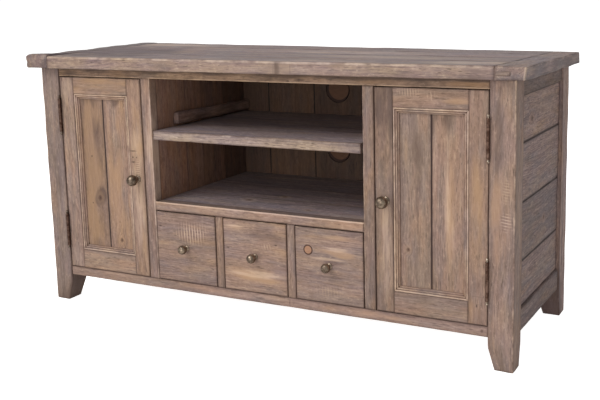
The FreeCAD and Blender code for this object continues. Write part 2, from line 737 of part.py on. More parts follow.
def hinge_pin(z):
    """The pin of one hinge, with a ball finial at each end."""
    low = z - HINGE_L / 2
    neck = FINIAL_NECK_L
    outline = [(0, low - neck - FINIAL_R), (HINGE_PIN_R, low - neck - FINIAL_R),
               (HINGE_PIN_R, low + HINGE_L + neck + FINIAL_R), (0, low + HINGE_L + neck + FINIAL_R)]
    points = [FreeCAD.Vector(PIN_X + r, PIN_Y, h) for r, h in outline]
    axis = FreeCAD.Vector(PIN_X, PIN_Y, 0)
    pin = Part.Face(Part.makePolygon(points + points[:1])).revolve(axis, FreeCAD.Vector(0, 0, 1), 360)
    balls = [Part.makeSphere(FINIAL_R, FreeCAD.Vector(PIN_X, PIN_Y, h))
             for h in (low - neck - FINIAL_R, low + HINGE_L + neck + FINIAL_R)]
    return joined(pin, *balls)


# Doors, made on the left

def door_stile(x0, x1, inner, side):
    """An upright of the door; its mortises go from its inner face to the left (-1) or right (+1)."""
    stile = board(x0, x1, 0, DOOR_T, DOOR_Z0, DOOR_Z1, DOOR_EASE)
    return less(stile, door_panel_space(), *door_tenons(inner, side, DOOR_TENON_L + MORTISE_SPARE))


def door_tenons(x_face, side, length):
    """The tenons of both rails at one side, clear of the groove for the panel."""
    return [tenon_x(x_face, side, 0, DOOR_T, z0, z1, length, DOOR_PANEL_TONGUE)
            for z0, z1 in door_rail_levels()]


def door_rail_levels():
    """Heights of the two rails of the door."""
    return [(DOOR_Z0, DOOR_Z0 + DOOR_BOTTOM_RAIL_H), (DOOR_Z1 - DOOR_TOP_RAIL_H, DOOR_Z1)]


def door_opening():
    """Edges of the opening inside the door's frame: left, right, bottom, top."""
    return (DOOR_X0 + DOOR_STILE_W, DOOR_X1 - DOOR_STILE_W,
            DOOR_Z0 + DOOR_BOTTOM_RAIL_H, DOOR_Z1 - DOOR_TOP_RAIL_H)


def door_panel_space():
    """The space of the panel with its edges in the grooves of the frame."""
    x0, x1, z0, z1 = door_opening()
    t = DOOR_PANEL_TONGUE
    y0 = DOOR_PANEL_RECESS
    return box(x0 - t, x1 + t, y0, y0 + DOOR_PANEL_T, z0 - t, z1 + t)


def door_rails():
    """Top and bottom rail of the door, tenoned into the stiles."""
    x0, x1, _, _ = door_opening()
    rails = []
    lefts, rights = door_tenons(x0, -1, DOOR_TENON_L), door_tenons(x1, 1, DOOR_TENON_L)
    for (z0, z1), left, right in zip(door_rail_levels(), lefts, rights):
        rail = board(x0, x1, 0, DOOR_T, z0, z1, DOOR_EASE)
        rails.append(less(joined(rail, left, right), door_panel_space()))
    return rails


def door_panel():
    """Two upright boards with a V between them."""
    x0, x1, z0, z1 = door_opening()
    t = DOOR_PANEL_TONGUE
    middle = (x0 + x1) / 2
    y0 = DOOR_PANEL_RECESS
    boards = []
    for a, b in ((x0 - t, middle), (middle, x1 + t)):
        block = box(a, b, y0, y0 + DOOR_PANEL_T, z0 - t, z1 + t)
        edge = [e for e in block.Edges if along_z_at(e, middle, y0)]
        boards.append(block.makeChamfer(DOOR_PANEL_V, edge))
    return boards


def along_z_at(edge, x, y):
    """Whether an edge runs along Z at a given X and Y."""
    return all(abs(v.Point.x - x) < NEAR and abs(v.Point.y - y) < NEAR for v in edge.Vertexes)


def moulding_profile():
    """Outline of the moulding, as (distance in from the frame, depth behind the front)."""
    w, d = MOULDING_W, DOOR_PANEL_RECESS
    front = MOULDING_SET_IN
    step = front + MOULDING_STEP
    bead_end = MOULDING_FILLET + MOULDING_BEAD
    return [(0, d), (0, front), (MOULDING_FILLET, front), (MOULDING_FILLET, step),
            (bead_end, step), (w, (step + d) / 2), (w, d)]


def door_moulding():
    """Four lengths of moulding round the panel, mitred at the corners."""
    x0, x1, z0, z1 = door_opening()
    near = [FreeCAD.Vector(x0, 0, z0), FreeCAD.Vector(x1, 0, z0), FreeCAD.Vector(x1, 0, z1),
            FreeCAD.Vector(x0, 0, z1)]
    lengths = []
    for i, start in enumerate(near):
        end = near[(i + 1) % len(near)]
        along = (end - start).normalize()
        inward = FreeCAD.Vector(-along.z, 0, along.x)
        first = [start + (inward + along) * w + FreeCAD.Vector(0, d, 0) for w, d in moulding_profile()]
        last = [end + (inward - along) * w + FreeCAD.Vector(0, d, 0) for w, d in moulding_profile()]
        wires = [Part.makePolygon(points + points[:1]) for points in (first, last)]
        lengths.append(Part.makeLoft(wires, True, True))
    return lengths


def knob(radius, x, z, through):
    """A ball knob on a neck and rose, with a bolt through the wood behind it."""
    stand = radius * KNOB_STAND_SHARE
    rose_t = radius * KNOB_ROSE_T_SHARE
    out = FreeCAD.Vector(0, -1, 0)
    face = FreeCAD.Vector(x, 0, z)
    ball = Part.makeSphere(radius, FreeCAD.Vector(x, -stand, z))
    neck = cylinder(radius * KNOB_NECK_SHARE, stand, face, out)
    rose = Part.makeCone(radius * KNOB_ROSE_SHARE, radius * KNOB_ROSE_SHARE - rose_t / 2, rose_t, face, out)
    return joined(ball, neck, rose, knob_bolt(x, z, through))


def knob_bolt(x, z, through):
    """The bolt of a knob, as long as the wood is thick."""
    return cylinder(KNOB_SHANK_R, through, FreeCAD.Vector(x, 0, z), FreeCAD.Vector(0, 1, 0))


def door_knob_place():
    """Middle of the knob stile, at half the height of the door."""
    return DOOR_X1 - DOOR_STILE_W / 2, (DOOR_Z0 + DOOR_Z1) / 2


def write_door(side, name):
    """All the sub-parts of one door; they are made on the left and mirrored for the right."""
    turn = mirrored if side > 0 else (lambda shape: shape)
    kx, kz = door_knob_place()
    x0, x1, _, _ = door_opening()
    hinge_stile = less(door_stile(DOOR_X0, x0, x0, -1), *leaf_cuts(1))
    knob_stile = less(door_stile(x1, DOOR_X1, x1, 1), knob_bolt(kx, kz, DOOR_T))
    write_node(name + "_hinge_stile", turn(hinge_stile))
    write_node(name + "_knob_stile", turn(knob_stile))
    write_node(name + "_rails", *[turn(s) for s in door_rails()])
    write_node(name + "_panel", *[turn(s) for s in door_panel()])
    write_node(name + "_moulding", *[turn(s) for s in door_moulding()])
    write_node(name + "_knob", turn(knob(DOOR_KNOB_R, kx, kz, DOOR_T)))
    write_node(name + "_hinge_leaves", *[turn(s) for s in hinge_leaves(1)])


# Drawers

def drawer_spans():
    """Left and right edge of each drawer front."""
    first = STILE_X1
    step = BAY_W + DIVIDER_W
    return [(first + i * step + DRAWER_GAP, first + i * step + BAY_W - DRAWER_GAP) for i in range(DRAWERS)]


def drawer_levels():
    """Heights of a drawer: front foot, front head, side foot, side head, bottom, bottom's top."""
    z0, z1 = FRAME_BOTTOM + DRAWER_GAP, MID_RAIL_Z - DRAWER_GAP
    side0 = FRAME_BOTTOM + RUN_GAP
    bottom = side0 + DRAWER_BOTTOM_UP
    return z0, z1, side0, z1 - DRAWER_SIDE_DROP, bottom, bottom + DRAWER_BOTTOM_T


def drawer_bottom(x0, x1):
    """The thin bottom, let into the front and the sides and passing under the back."""
    _, _, _, _, z0, z1 = drawer_levels()
    inset = DRAWER_SIDE_T - DRAWER_BOTTOM_IN
    return box(x0 + inset, x1 - inset, DRAWER_FRONT_T - DRAWER_BOTTOM_IN, DRAWER_L, z0, z1)


def drawer_sides(x0, x1):
    """The two sides, let into the front and grooved for the bottom."""
    _, _, z0, z1, _, _ = drawer_levels()
    y0 = DRAWER_FRONT_T - DRAWER_REBATE
    sides = [box(x, x + DRAWER_SIDE_T, y0, DRAWER_L, z0, z1) for x in (x0, x1 - DRAWER_SIDE_T)]
    return [less(side, drawer_bottom(x0, x1)) for side in sides]


def drawer_box(x0, x1):
    """Two sides and a back that stands on the bottom."""
    _, _, _, z1, _, z0 = drawer_levels()
    back = box(x0 + DRAWER_SIDE_T, x1 - DRAWER_SIDE_T, DRAWER_L - DRAWER_SIDE_T, DRAWER_L, z0, z1)
    return drawer_sides(x0, x1) + [back]


def drawer_front(x0, x1):
    """The front, rebated for the sides and grooved for the bottom."""
    z0, z1 = drawer_levels()[:2]
    front = board(x0, x1, 0, DRAWER_FRONT_T, z0, z1, DRAWER_EASE)
    return less(front, *drawer_sides(x0, x1), drawer_bottom(x0, x1))


def write_drawer(number, x0, x1):
    """All the sub-parts of one drawer."""
    name = "drawer_" + str(number)
    kx = (x0 + x1) / 2
    kz = sum(drawer_levels()[:2]) / 2
    write_node(name + "_front", less(drawer_front(x0, x1), knob_bolt(kx, kz, DRAWER_FRONT_T)))
    write_node(name + "_box", *drawer_box(x0, x1))
    write_node(name + "_bottom", drawer_bottom(x0, x1))
    write_node(name + "_knob", knob(DRAWER_KNOB_R, kx, kz, DRAWER_FRONT_T))


def write_sides():
    """Posts, rails and boards of both sides, made on the left and mirrored."""
    for name, solids in (("front_post", [front_post()]), ("rear_post", [rear_post()]),
                         ("side_rails", side_rails()), ("side_boards", side_boards()),
                         ("inner_stile", [inner_stile()]), ("partition", partition()),
                         ("breadboard", [breadboard()])):
        write_node(name + "_left", *solids)
        write_node(name + "_right", *[mirrored(s) for s in solids])


def main():
    """Write every sub-part."""
    os.makedirs("parts", exist_ok=True)
    write_sides()
    write_node("top_planks", *top_planks())
    write_node("top_rail", top_rail())
    write_node("mid_rail", mid_rail())
    write_node("bottom_rail", bottom_rail())
    write_node("drawer_dividers", *drawer_dividers())
    write_node("back_rails", *back_rails())
    write_node("back_boards", *back_boards())
    write_node("back_screws", *back_screws())
    write_node("wall_battens", *both([wall_batten()]))
    write_node("shelf_cleats", *both(shelf_cleats()))
    write_node("cupboard_shelves", *both([cupboard_shelf()]))
    write_node("centre_floor", centre_floor_blank())
    write_node("bottom_boards", *bottom_boards())
    write_node("drawer_guides", *drawer_guides())
    write_node("door_catches", *both([door_catch()]))
    write_node("post_hinge_leaves", *both(hinge_leaves(-1)))
    write_node("hinge_pins", *both([hinge_pin(z) for z in hinge_heights()]))
    write_node("loose_shelf", loose_shelf())
    for name, at in zip(("cable_plug_upper", "cable_plug_lower"), ports()):
        write_node(name, cable_plug(at))
    write_door(-1, "door_left")
    write_door(1, "door_right")
    for number, (x0, x1) in enumerate(drawer_spans(), start=1):
        write_drawer(number, x0, x1)


main()
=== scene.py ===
# %% [markdown]
# # A weathered pine tv unit, board by board
#
# The CAD model of this long, low tv unit is finished: sharp, plain and exact.
# This lesson gives it the look of the real one: old pine boards, planed and
# stained grey-brown, with rubbed arrises, saw marks, knots and small bronze
# fittings. The CAD model comes in as a fixed frame, and nothing in it is moved.

# %% Load the CAD model
import itertools
import math
import bpy
import numpy as np
from mathutils import Matrix


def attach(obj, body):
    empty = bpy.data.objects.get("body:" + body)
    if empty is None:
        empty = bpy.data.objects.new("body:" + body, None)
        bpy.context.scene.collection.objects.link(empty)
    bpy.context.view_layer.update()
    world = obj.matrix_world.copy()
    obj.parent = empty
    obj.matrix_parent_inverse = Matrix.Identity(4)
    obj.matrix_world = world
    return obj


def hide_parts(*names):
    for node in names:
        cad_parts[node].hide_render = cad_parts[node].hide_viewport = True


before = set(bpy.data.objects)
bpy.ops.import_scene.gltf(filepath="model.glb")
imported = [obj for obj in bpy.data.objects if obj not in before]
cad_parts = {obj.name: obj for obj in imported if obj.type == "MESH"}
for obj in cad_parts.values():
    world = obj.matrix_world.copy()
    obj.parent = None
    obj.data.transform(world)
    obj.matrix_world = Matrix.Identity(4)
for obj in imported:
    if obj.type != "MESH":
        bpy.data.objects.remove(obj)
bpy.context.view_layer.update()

# %% [markdown]
# ## The camera
#
# The photograph was taken from the right and a little above, so the camera is
# turned left and tipped down by the angles that make the CAD model's corners
# fall on the photograph's. Its rows are worked out as three plain turns, and
# the lens comes from the same fit.

# %% Place the camera
IMAGE_W, IMAGE_H = 600, 400
FOCAL_PX = 954.136
CENTRE_PX = (334.634, 156.628)
YAW, PITCH, ROLL = -0.474402, 0.175271, -0.020067
EYE = (1.2553, -2.2087, 0.8660)
SENSOR_MM = 36
CLIP_START = 0.05


def turn(angle, first, second):
    """A turn by angle in the plane of two axes: cosine on the diagonal, minus and plus sine beside it."""
    matrix = np.eye(3)
    matrix[first, first] = matrix[second, second] = math.cos(angle)
    matrix[first, second], matrix[second, first] = -math.sin(angle), math.sin(angle)
    return matrix


level = np.array([[1, 0, 0], [0, 0, -1], [0, 1, 0]])
right, down, forward = turn(ROLL, 0, 1) @ turn(PITCH, 1, 2) @ level @ turn(YAW, 0, 1)
camera_data = bpy.data.cameras.new("camera")
camera_data.sensor_width = SENSOR_MM
camera_data.lens = FOCAL_PX * SENSOR_MM / IMAGE_W
camera_data.shift_x = (IMAGE_W / 2 - CENTRE_PX[0]) / IMAGE_W
camera_data.shift_y = (CENTRE_PX[1] - IMAGE_H / 2) / IMAGE_W
camera_data.clip_start = CLIP_START
camera = bpy.data.objects.new("camera", camera_data)
bpy.context.scene.collection.objects.link(camera)
pose = np.eye(4)
pose[:3, :3] = np.stack([right, -down, -forward], 1)
pose[:3, 3] = EYE
camera.matrix_world = Matrix(pose.tolist())
bpy.context.scene.camera = camera
print("lens %.1f mm, camera at %s" % (camera_data.lens, EYE))

# %% [markdown]
# ## Adding a node
#
# Every material below is a tree of nodes. One small function adds a node, sets
# it and links it, so a material reads as a list of steps. A mode, such as POWER
# or SMOOTHSTEP, is written behind the kind of node.

# %% One function for every node
MODES = {"Math": "operation", "VectorMath": "operation", "MapRange": "interpolation_type",
         "Mix": "data_type"}
TIMES, TIMES_PLUS = "Math MULTIPLY", "Math MULTIPLY_ADD"
SMOOTH, MIX = "MapRange SMOOTHSTEP", "Mix RGBA"
XYZ = (0, 1, 2)


def linear(code):
    """An sRGB hex code as linear colour: c / 12.92 up to 0.04045, ((c + 0.055) / 1.055) ^ 2.4 above it."""
    srgb = np.array([int(code[i:i + 2], 16) for i in (1, 3, 5)]) / 255
    rgb = np.where(srgb <= 0.04045, srgb / 12.92, ((srgb + 0.055) / 1.055) ** 2.4)
    return (*rgb.tolist(), 1.0)


def node_adder(owner):
    """Empties the node tree of a material or world and gives back the function that adds nodes to it."""
    owner.use_nodes = True
    tree = owner.node_tree
    tree.nodes.clear()

    def add(kind, sockets=(), out=0, **settings):
        """Adds a node, sets it, fills or links its sockets and gives back one output or several."""
        kind, *mode = kind.split()
        node = tree.nodes.new("ShaderNode" + kind)
        if mode:
            settings[MODES[kind]] = mode[0]
        for key, value in settings.items():
            setattr(node, key, value)
        for key, value in sockets.items() if isinstance(sockets, dict) else enumerate(sockets):
            if isinstance(value, bpy.types.NodeSocket):
                tree.links.new(value, node.inputs[key])
            else:
                node.inputs[key].default_value = value
        if isinstance(out, tuple):
            return [node.outputs[n] for n in out]
        return node.outputs[out] if len(node.outputs) else node
    return add


def new_material(name):
    """An empty material and the function that adds nodes to it."""
    material = bpy.data.materials.new(name)
    return material, node_adder(material)


print("linear of #9D816E:", [round(v, 3) for v in linear("#9D816E")])

# %% [markdown]
# ## Floor and light
#
# The object stands on plain white, lit softly from the front and above, with
# less light on its right-hand side. A wide pale floor, one large lamp at the
# front left and one low in front do that, and a white world fills the shadows.

# %% Floor, world and lamps
FLOOR_X, FLOOR_Y, FLOOR_Z = (-9, 9), (-9, 14), -0.0006
FLOOR_GLOW = (0.15, 0.9)  # what reaches the object, then what the camera sees
WORLD_LIGHT = (0.46, 1.05)
WHITE = (1, 1, 1, 1)
AIM = (0, 0, 0.35)
LAMPS = {"key": ((-1.5, -3.0, 3.9), 2.4, 112), "front": ((0.5, -4.8, 1.0), 2.6, 68)}  # place, size, power

floor_mesh = bpy.data.meshes.new("floor")
corners = [(FLOOR_X[i], FLOOR_Y[j], FLOOR_Z) for i, j in ((0, 0), (1, 0), (1, 1), (0, 1))]
floor_mesh.from_pydata(corners, [], [(0, 1, 2, 3)])
floor = bpy.data.objects.new("floor", floor_mesh)
bpy.context.scene.collection.objects.link(floor)
floor_paint, add = new_material("floor_matt_white")
glow = add("MapRange", [add("LightPath", out="Is Camera Ray"), 0, 1, *FLOOR_GLOW])
add("OutputMaterial", [add("BsdfPrincipled", {
    "Base Color": linear("#F4F3F1"), "Roughness": 0.9, "Specular IOR Level": 0.1,
    "Emission Color": WHITE, "Emission Strength": glow})])
floor_mesh.materials.append(floor_paint)

world = bpy.data.worlds.new("studio")
add = node_adder(world)
strength = add("MapRange", [add("LightPath", out="Is Camera Ray"), 0, 1, *WORLD_LIGHT])
add("OutputWorld", [add("Background", {"Color": WHITE, "Strength": strength})])
bpy.context.scene.world = world


def lamp(name, place, size, power):
    """A square soft lamp at place, turned so that its minus Z points at AIM."""
    data = bpy.data.lights.new(name, "AREA")
    data.shape, data.size, data.energy = "SQUARE", size, power
    obj = bpy.data.objects.new(name, data)
    bpy.context.scene.collection.objects.link(obj)
    x, y, z = np.array(place) - AIM
    obj.location = place
    obj.rotation_euler = (math.atan2(math.hypot(x, y), z), 0, math.atan2(x, -y))


for name, settings in LAMPS.items():
    lamp(name, *settings)
bpy.context.scene.view_settings.view_transform = "Standard"

# %% [markdown]
# ## A worn board
#
# On the real unit no board is a sharp block. Arrises are rounded by hand
# planing and years of rubbing, more here and less there, and faces wander by a
# few tenths of a millimetre. A Bevel modifier would round every arris alike,
# so each board is a net of points on a box, drawn in towards a smaller box
# with a radius that changes from place to place.

# %% Points on a box, welded into one net
ARRIS_SHARES = np.array([0, 0.3, 0.65, 1.0])  # where the planes of the net cut a rounded arris
MARGIN = 3  # mm from the arris to one more plane, where the board has room for it
SAME = 0.01  # mm within which a point still counts as on the arris


def rows(low, high, reach, step):
    """Places of the net's planes along one axis: close within reach of each end, then in even steps."""
    near = reach * ARRIS_SHARES
    if high - low > 2 * reach + 3 * MARGIN:
        near = np.append(near, reach + MARGIN)
    count = max(1, math.ceil((high - low - 2 * near[-1]) / step))
    middle = np.linspace(low + near[-1], high - near[-1], count + 1)
    return np.concatenate([low + near[:-1], middle, high - near[:-1][::-1]])


def box_net(xs, ys, zs):
    """The six sides of a box as quads over three lists of planes. A corner's number is its plane numbers
    read as digits, so shared corners weld."""
    counts = np.array([len(xs), len(ys), len(zs)])
    quads = []
    for axis in range(3):
        u, v = (axis + 1) % 3, (axis + 2) % 3
        i, j = np.meshgrid(np.arange(counts[u] - 1), np.arange(counts[v] - 1), indexing="ij")
        for side in (0, counts[axis] - 1):
            corners = np.zeros(i.shape + (4, 3), int)
            corners[..., axis] = side
            order = ((0, 0), (1, 0), (1, 1), (0, 1)) if side else ((0, 0), (0, 1), (1, 1), (1, 0))
            for k, (di, dj) in enumerate(order):
                corners[..., k, u] = i + di
                corners[..., k, v] = j + dj
            quads.append(corners.reshape(-1, 4, 3))
    corners = np.concatenate(quads)
    keys, faces = np.unique(corners @ np.array([counts[1] * counts[2], counts[2], 1]), return_inverse=True)
    k = keys % counts[2]
    j = (keys // counts[2]) % counts[1]
    i = keys // (counts[1] * counts[2])
    return np.stack([xs[i], ys[j], zs[k]], 1), faces.reshape(-1, 4)


test_net = box_net(np.arange(3.0), np.arange(4.0), np.arange(5.0))
print("a 2 x 3 x 4 box has", len(test_net[0]), "corners and", len(test_net[1]), "quads")

# %% Gentle unevenness
WAVES, WAVE_SPREAD, PHASES = 10, (0.7, 1.9), 6.28
WAVE_SUM, WAVE_LIMIT = 2.6, 1.6


def ripple(places, size, seed):
    """Smooth unevenness of about plus or minus one: ten seeded sine waves of about size, added up."""
    rng = np.random.default_rng(seed)
    waves = rng.normal(size=(3, WAVES))
    waves *= 2 * math.pi / (size * rng.uniform(*WAVE_SPREAD, WAVES)) / np.linalg.norm(waves, axis=0)
    summed = np.sin(places @ waves + rng.uniform(0, PHASES, WAVES)).sum(1)
    return np.clip(summed / WAVE_SUM, -WAVE_LIMIT, WAVE_LIMIT)


def nearest(flat, faces, features, far):
    """For each quad, the mark that is nearest in its own sizes: the quad's corners measured from it, over
    those sizes, and what else the mark says."""
    if not len(features):
        return np.tile(np.array(far, float), (faces.size, 1))
    features = np.array(features, float)
    middle = flat[faces].mean(1)
    away = (middle[:, None, :] - features[None, :, :2]) / features[None, :, 2:4]
    pick = features[np.linalg.norm(away, axis=2).argmin(1)]
    offset = (flat[faces] - pick[:, None, :2]) / pick[:, None, 2:4]
    last = np.broadcast_to(pick[:, None, 4:], offset.shape[:2] + (pick.shape[1] - 4,))
    return np.concatenate([offset, last], 2).reshape(faces.size, -1)


print("ripple at the origin:", round(float(ripple(np.zeros((1, 3)), 50, 1)[0]), 3))

# %% [markdown]
# The board also carries what its material needs to know, as attributes. On its
# points, `grain` is the place along, across and into the board, shifted by a
# seeded amount so that no two boards match; `pith` is the distance from the
# middle of the tree that it was sawn from; `tone` is its own warmth, lightness
# and the amount of dirt and painted shade near its edges, with painted light
# added on its front face; `arris` says where it is rubbed pale, where dirt
# gathered, and how near its edge is; and `stain` holds warm, dark and light
# amounts, where some dark ones are painted shade and some light ones painted
# light. On the corners of its quads, `knot`, `saw` and `dent` are distances from
# the nearest mark over its sizes with its radius or strength, and `teeth` is the
# pitch of the saw's strokes.

# %% The worn board itself
FAR = 99  # so many sizes away, a mark doesn't show
UNEVEN, UNEVEN_MM = 0.3, 45  # how much a radius varies, and over which length
WANDER_MM = 80  # the length over which a face wanders
LEAST_RADIUS, MOST_REACH = 0.3, 0.36  # in mm, and as a share of the thickness
EDGE_MM = 13  # how far from an edge dirt and painted shade lie
KNOT_STRETCH = 1.25  # a knot is longer along the grain
GRAIN_SHIFT, PITH_DEPTH, PITH_LEAN = 6, (0.022, 0.05), 0.035
WARMTH_VARIES, LIGHT_VARIES = 0.12, 0.05


def read_marks(text):
    """Marks are written as numbers, with a comma between two marks."""
    return [[float(number) for number in mark.split()] for mark in text.split(",") if mark.strip()]


def stained(flat, stains, lights):
    """Warm, dark and light amounts at each point: the sum of strength times exp(-(u^2 + v^2)), u and v
    being the distances from a mark over its half sizes. A stain of negative strength is dark; some dark
    ones paint shade, and some lights paint light."""
    amounts = np.zeros((len(flat), 3))
    kinds = [int(mark[4] < 0) for mark in stains] + [2] * len(lights)
    for kind, (along, across, half_length, half_width, strength) in zip(kinds, stains + lights):
        u = (flat[:, 0] - along) / half_length
        v = (flat[:, 1] - across) / half_width
        amounts[:, kind] += abs(strength) * np.exp(-(u * u + v * v))
    return amounts


def worn_board(x, y, z, along, seed, face=None, ease=1.5, soft={}, pale={}, grime=0.5, wander=0.15,
               tone=(0, 0), front=(0, 0), dirt=0.5, knots="", saws="", dents="", stains="", lights="",
               step=(10, 6), bend=None):
    """A board between the corners in mm. Each net point goes to the nearest point of the board shrunk by
    the local radius, then back out by that radius. soft gives single arrises another radius, pale rubs
    them."""
    saws, dents, stains, lights = map(read_marks, (saws, dents, stains, lights))
    low, high = np.array([x, y, z], float).T
    axis = "xyz".index(along)
    thin = np.where(np.arange(3) == axis, np.inf, high - low)
    depth = "xyz".index(face) if face else int(np.argmin(thin))
    across = 3 - axis - depth
    reach = min(max([ease, *soft.values()]), MOST_REACH * float((high - low).min()))
    steps = np.full(3, step[1])
    steps[axis] = step[0]
    places, faces = box_net(*[rows(low[a], high[a], reach, steps[a]) for a in range(3)])

    near = {}
    for a, letter in enumerate("xyz"):
        near["-" + letter] = places[:, a] < low[a] + reach + SAME
        near["+" + letter] = places[:, a] > high[a] - reach - SAME
    arris = np.zeros((len(places), 3))
    uneven = 1 + UNEVEN * ripple(places, UNEVEN_MM, seed)
    radius = ease * uneven
    for first, second in itertools.combinations(near, 2):
        if first[1] != second[1]:
            both = near[first] & near[second]
            if first + second in soft:
                radius[both] = (soft[first + second] * uneven)[both]
            if first + second in pale:
                arris[both, 0] = np.maximum(arris[both, 0], pale[first + second])
            else:
                arris[both, 1] = grime
    radius = np.clip(radius, LEAST_RADIUS, reach)[:, None]
    inner = np.clip(places, low + radius, high - radius)
    away = places - inner
    away /= np.linalg.norm(away, axis=1, keepdims=True)
    shaped = inner + away * (radius + wander * ripple(places, WANDER_MM, seed + 5)[:, None])

    rng = np.random.default_rng(seed)
    own = (shaped - (low + high) / 2)[:, [axis, across, depth]] / 1000
    shift = rng.uniform(-GRAIN_SHIFT, GRAIN_SHIFT, 3)
    pith_across = rng.uniform(-0.5, 0.5) * ((high - low)[across] / 1000)
    pith_depth = rng.choice([-1, 1]) * rng.uniform(*PITH_DEPTH)
    lean = rng.uniform(-PITH_LEAN, PITH_LEAN, 2)
    pith = np.stack([own[:, 1] - pith_across + lean[0] * own[:, 0],
                     own[:, 2] - pith_depth + lean[1] * own[:, 0], 0 * own[:, 0]], 1)
    flat = shaped[:, [axis, across]]
    inward = np.sort(np.minimum(shaped - low, high - shaped), axis=1)[:, 1]
    arris[:, 2] = np.clip(1 - inward / EDGE_MM, 0, 1)
    colour = np.tile([tone[0] + rng.uniform(-WARMTH_VARIES, WARMTH_VARIES),
                      tone[1] + rng.uniform(-LIGHT_VARIES, LIGHT_VARIES), dirt], (len(own), 1))
    # front shifts the warmth and lightness of the board's front face against its other faces: painted
    # light, which on the top stands in for the grey reflection on the upper face.
    colour[near["-y"], :2] += front
    knots = [(a, b, r * KNOT_STRETCH, r, r) for a, b, r in read_marks(knots)]
    sawn = nearest(flat, faces, saws, (FAR, FAR, 0, 5))
    return {"places": bend(shaped) if bend else shaped, "faces": faces,
            "grain": own + shift, "pith": pith, "arris": arris, "tone": colour,
            "knot": nearest(flat, faces, knots, (FAR, FAR, 1)),
            "saw": sawn[:, :3], "teeth": np.repeat(sawn[:, 3:4], 3, 1),
            "dent": nearest(flat, faces, dents, (FAR, FAR, 0)), "stain": stained(flat, stains, lights)}


# %% From boards to a Blender object
POINT_FIELDS = ("grain", "pith", "tone", "arris", "stain")
CORNER_FIELDS = ("knot", "saw", "teeth", "dent")
FINISH = {}
made_pieces = {}


def piece(node, shapes, body, finish, name=None):
    """Joins shapes in mm into one mesh in metres, carries their attributes over and puts the piece on its
    body, in place of the CAD node."""
    name = name or "worn_" + node
    mesh = bpy.data.meshes.new(name)
    starts = np.cumsum([0] + [len(s["places"]) for s in shapes])
    places = np.concatenate([s["places"] for s in shapes]) / 1000
    faces = [[i + int(start) for i in face] for s, start in zip(shapes, starts) for face in
             (s["faces"].tolist() if isinstance(s["faces"], np.ndarray) else s["faces"])]
    mesh.from_pydata(places.tolist(), [], faces)
    mesh.polygons.foreach_set("use_smooth", np.ones(len(mesh.polygons), bool))
    for fields, domain in ((POINT_FIELDS, "POINT"), (CORNER_FIELDS, "CORNER")):
        for field in fields:
            if field in shapes[0]:
                values = np.concatenate([s[field] for s in shapes]).astype(np.float32)
                attribute = mesh.attributes.new(field, "FLOAT_VECTOR", domain)
                attribute.data.foreach_set("vector", values.ravel())
    mesh.update()
    mesh.materials.append(FINISH[finish])
    obj = bpy.data.objects.new(name, mesh)
    bpy.context.scene.collection.objects.link(obj)
    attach(obj, body)
    if node:
        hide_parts(node)
    made_pieces[name] = len(mesh.polygons)


print("fields on points:", POINT_FIELDS, "and on corners:", CORNER_FIELDS)

# %% [markdown]
# ## Weathered pine
#
# The real wood is reclaimed pine, planed, stained grey-brown and waxed. Under
# the stain run growth rings, seen as long pointed figures where the board was
# sawn near the middle of the tree. Grey, brown and honey-coloured patches of
# hand-width size lie over them, fine fibres and dark pores follow the grain,
# arrises are rubbed to pale wood, and dirt sits in the joints. Image textures
# are not needed: each of these is one noise, stretched along the grain to its
# real size in millimetres. Only fibres and pores are finer on the real wood
# than one pixel, so they are drawn as coarse as they need to be to show.

# %% The patterns of the grain and their sizes
GRAIN_PATTERNS = {  # name: (length along the grain mm, width across it mm, detail, roughness)
    "patch": (230, 60, 2.0, 0.5),
    "stain": (130, 30, 3.0, 0.6),
    "honey": (170, 34, 3.0, 0.55),
    "band": (280, 14, 3.0, 0.55),
    "streak": (70, 6, 3.0, 0.65),
    "fibre": (26, 2.6, 2.0, 0.6),
    "pore": (22, 2.2, 1.0, 0.5),
    "mottle": (14, 7, 3.0, 0.7),
    "cloud": (85, 34, 2.0, 0.5),
    "rub": (30, 30, 3.0, 0.6),
    "wave": (200, 45, 1.5, 0.5),
}
APART = (0.37, 0.61, 0.23)  # metres between the places that two patterns are taken from
RING_SPACING = 0.0052


def grain_patterns(add, grain):
    """One noise for each pattern: the place over its length and width, so that a blob has that size."""
    made = {}
    for n, (name, (length, width, detail, roughness)) in enumerate(GRAIN_PATTERNS.items()):
        apart = add("VectorMath ADD", [grain, [n * metres for metres in APART]])
        scaled = add("VectorMath MULTIPLY", [apart, (1000 / length, 1000 / width, 1000 / width)])
        settings = {"Vector": scaled, "Scale": 1.0, "Detail": detail, "Roughness": roughness}
        made[name] = add("TexNoise", settings)
    return made


def growth_rings(add, pith, patterns, push=None):
    """Late wood as thin darker lines: the distance from the pith, made wavy and pushed aside by knots,
    over the ring spacing; its fraction rises slowly and falls at once."""
    flat = add("VectorMath MULTIPLY", [pith, (1, 1, 0)])
    distance = add("VectorMath LENGTH", [flat], "Value")
    wavy = add(TIMES_PLUS, [patterns["wave"], 0.03, distance])
    if push is not None:
        wavy = add(TIMES_PLUS, [push, 0.008, wavy])
    ragged = add(TIMES_PLUS, [patterns["streak"], 0.003, wavy])
    part = add("Math FRACT", [add("Math DIVIDE", [ragged, RING_SPACING])])
    rise = add(SMOOTH, [part, 0.25, 0.86])
    fall = add(SMOOTH, [part, 0.88, 1, 1, 0])
    line = add(TIMES, [rise, fall])
    clear = add("MapRange", [patterns["patch"], 0.35, 0.62, 0.25, 1])
    return add(TIMES, [line, clear])


print("patterns:", ", ".join(GRAIN_PATTERNS))

# %% Marks that one board has and another lacks
KNOT_PARTS = (("halo", 1.4, 4.2), ("rim", 1.35, 1.9), ("heart", 1.1, 1.6), ("core", 0.7, 1.15))
STAIN_PATTERNS = (("warm_stain", "honey"), ("dark_stain", "stain"), ("light_stain", "streak"))


def parts_of(add, field):
    """The three numbers of one of the board's attributes."""
    return add("SeparateXYZ", [add("Attribute", out="Vector", attribute_name=field)], XYZ)


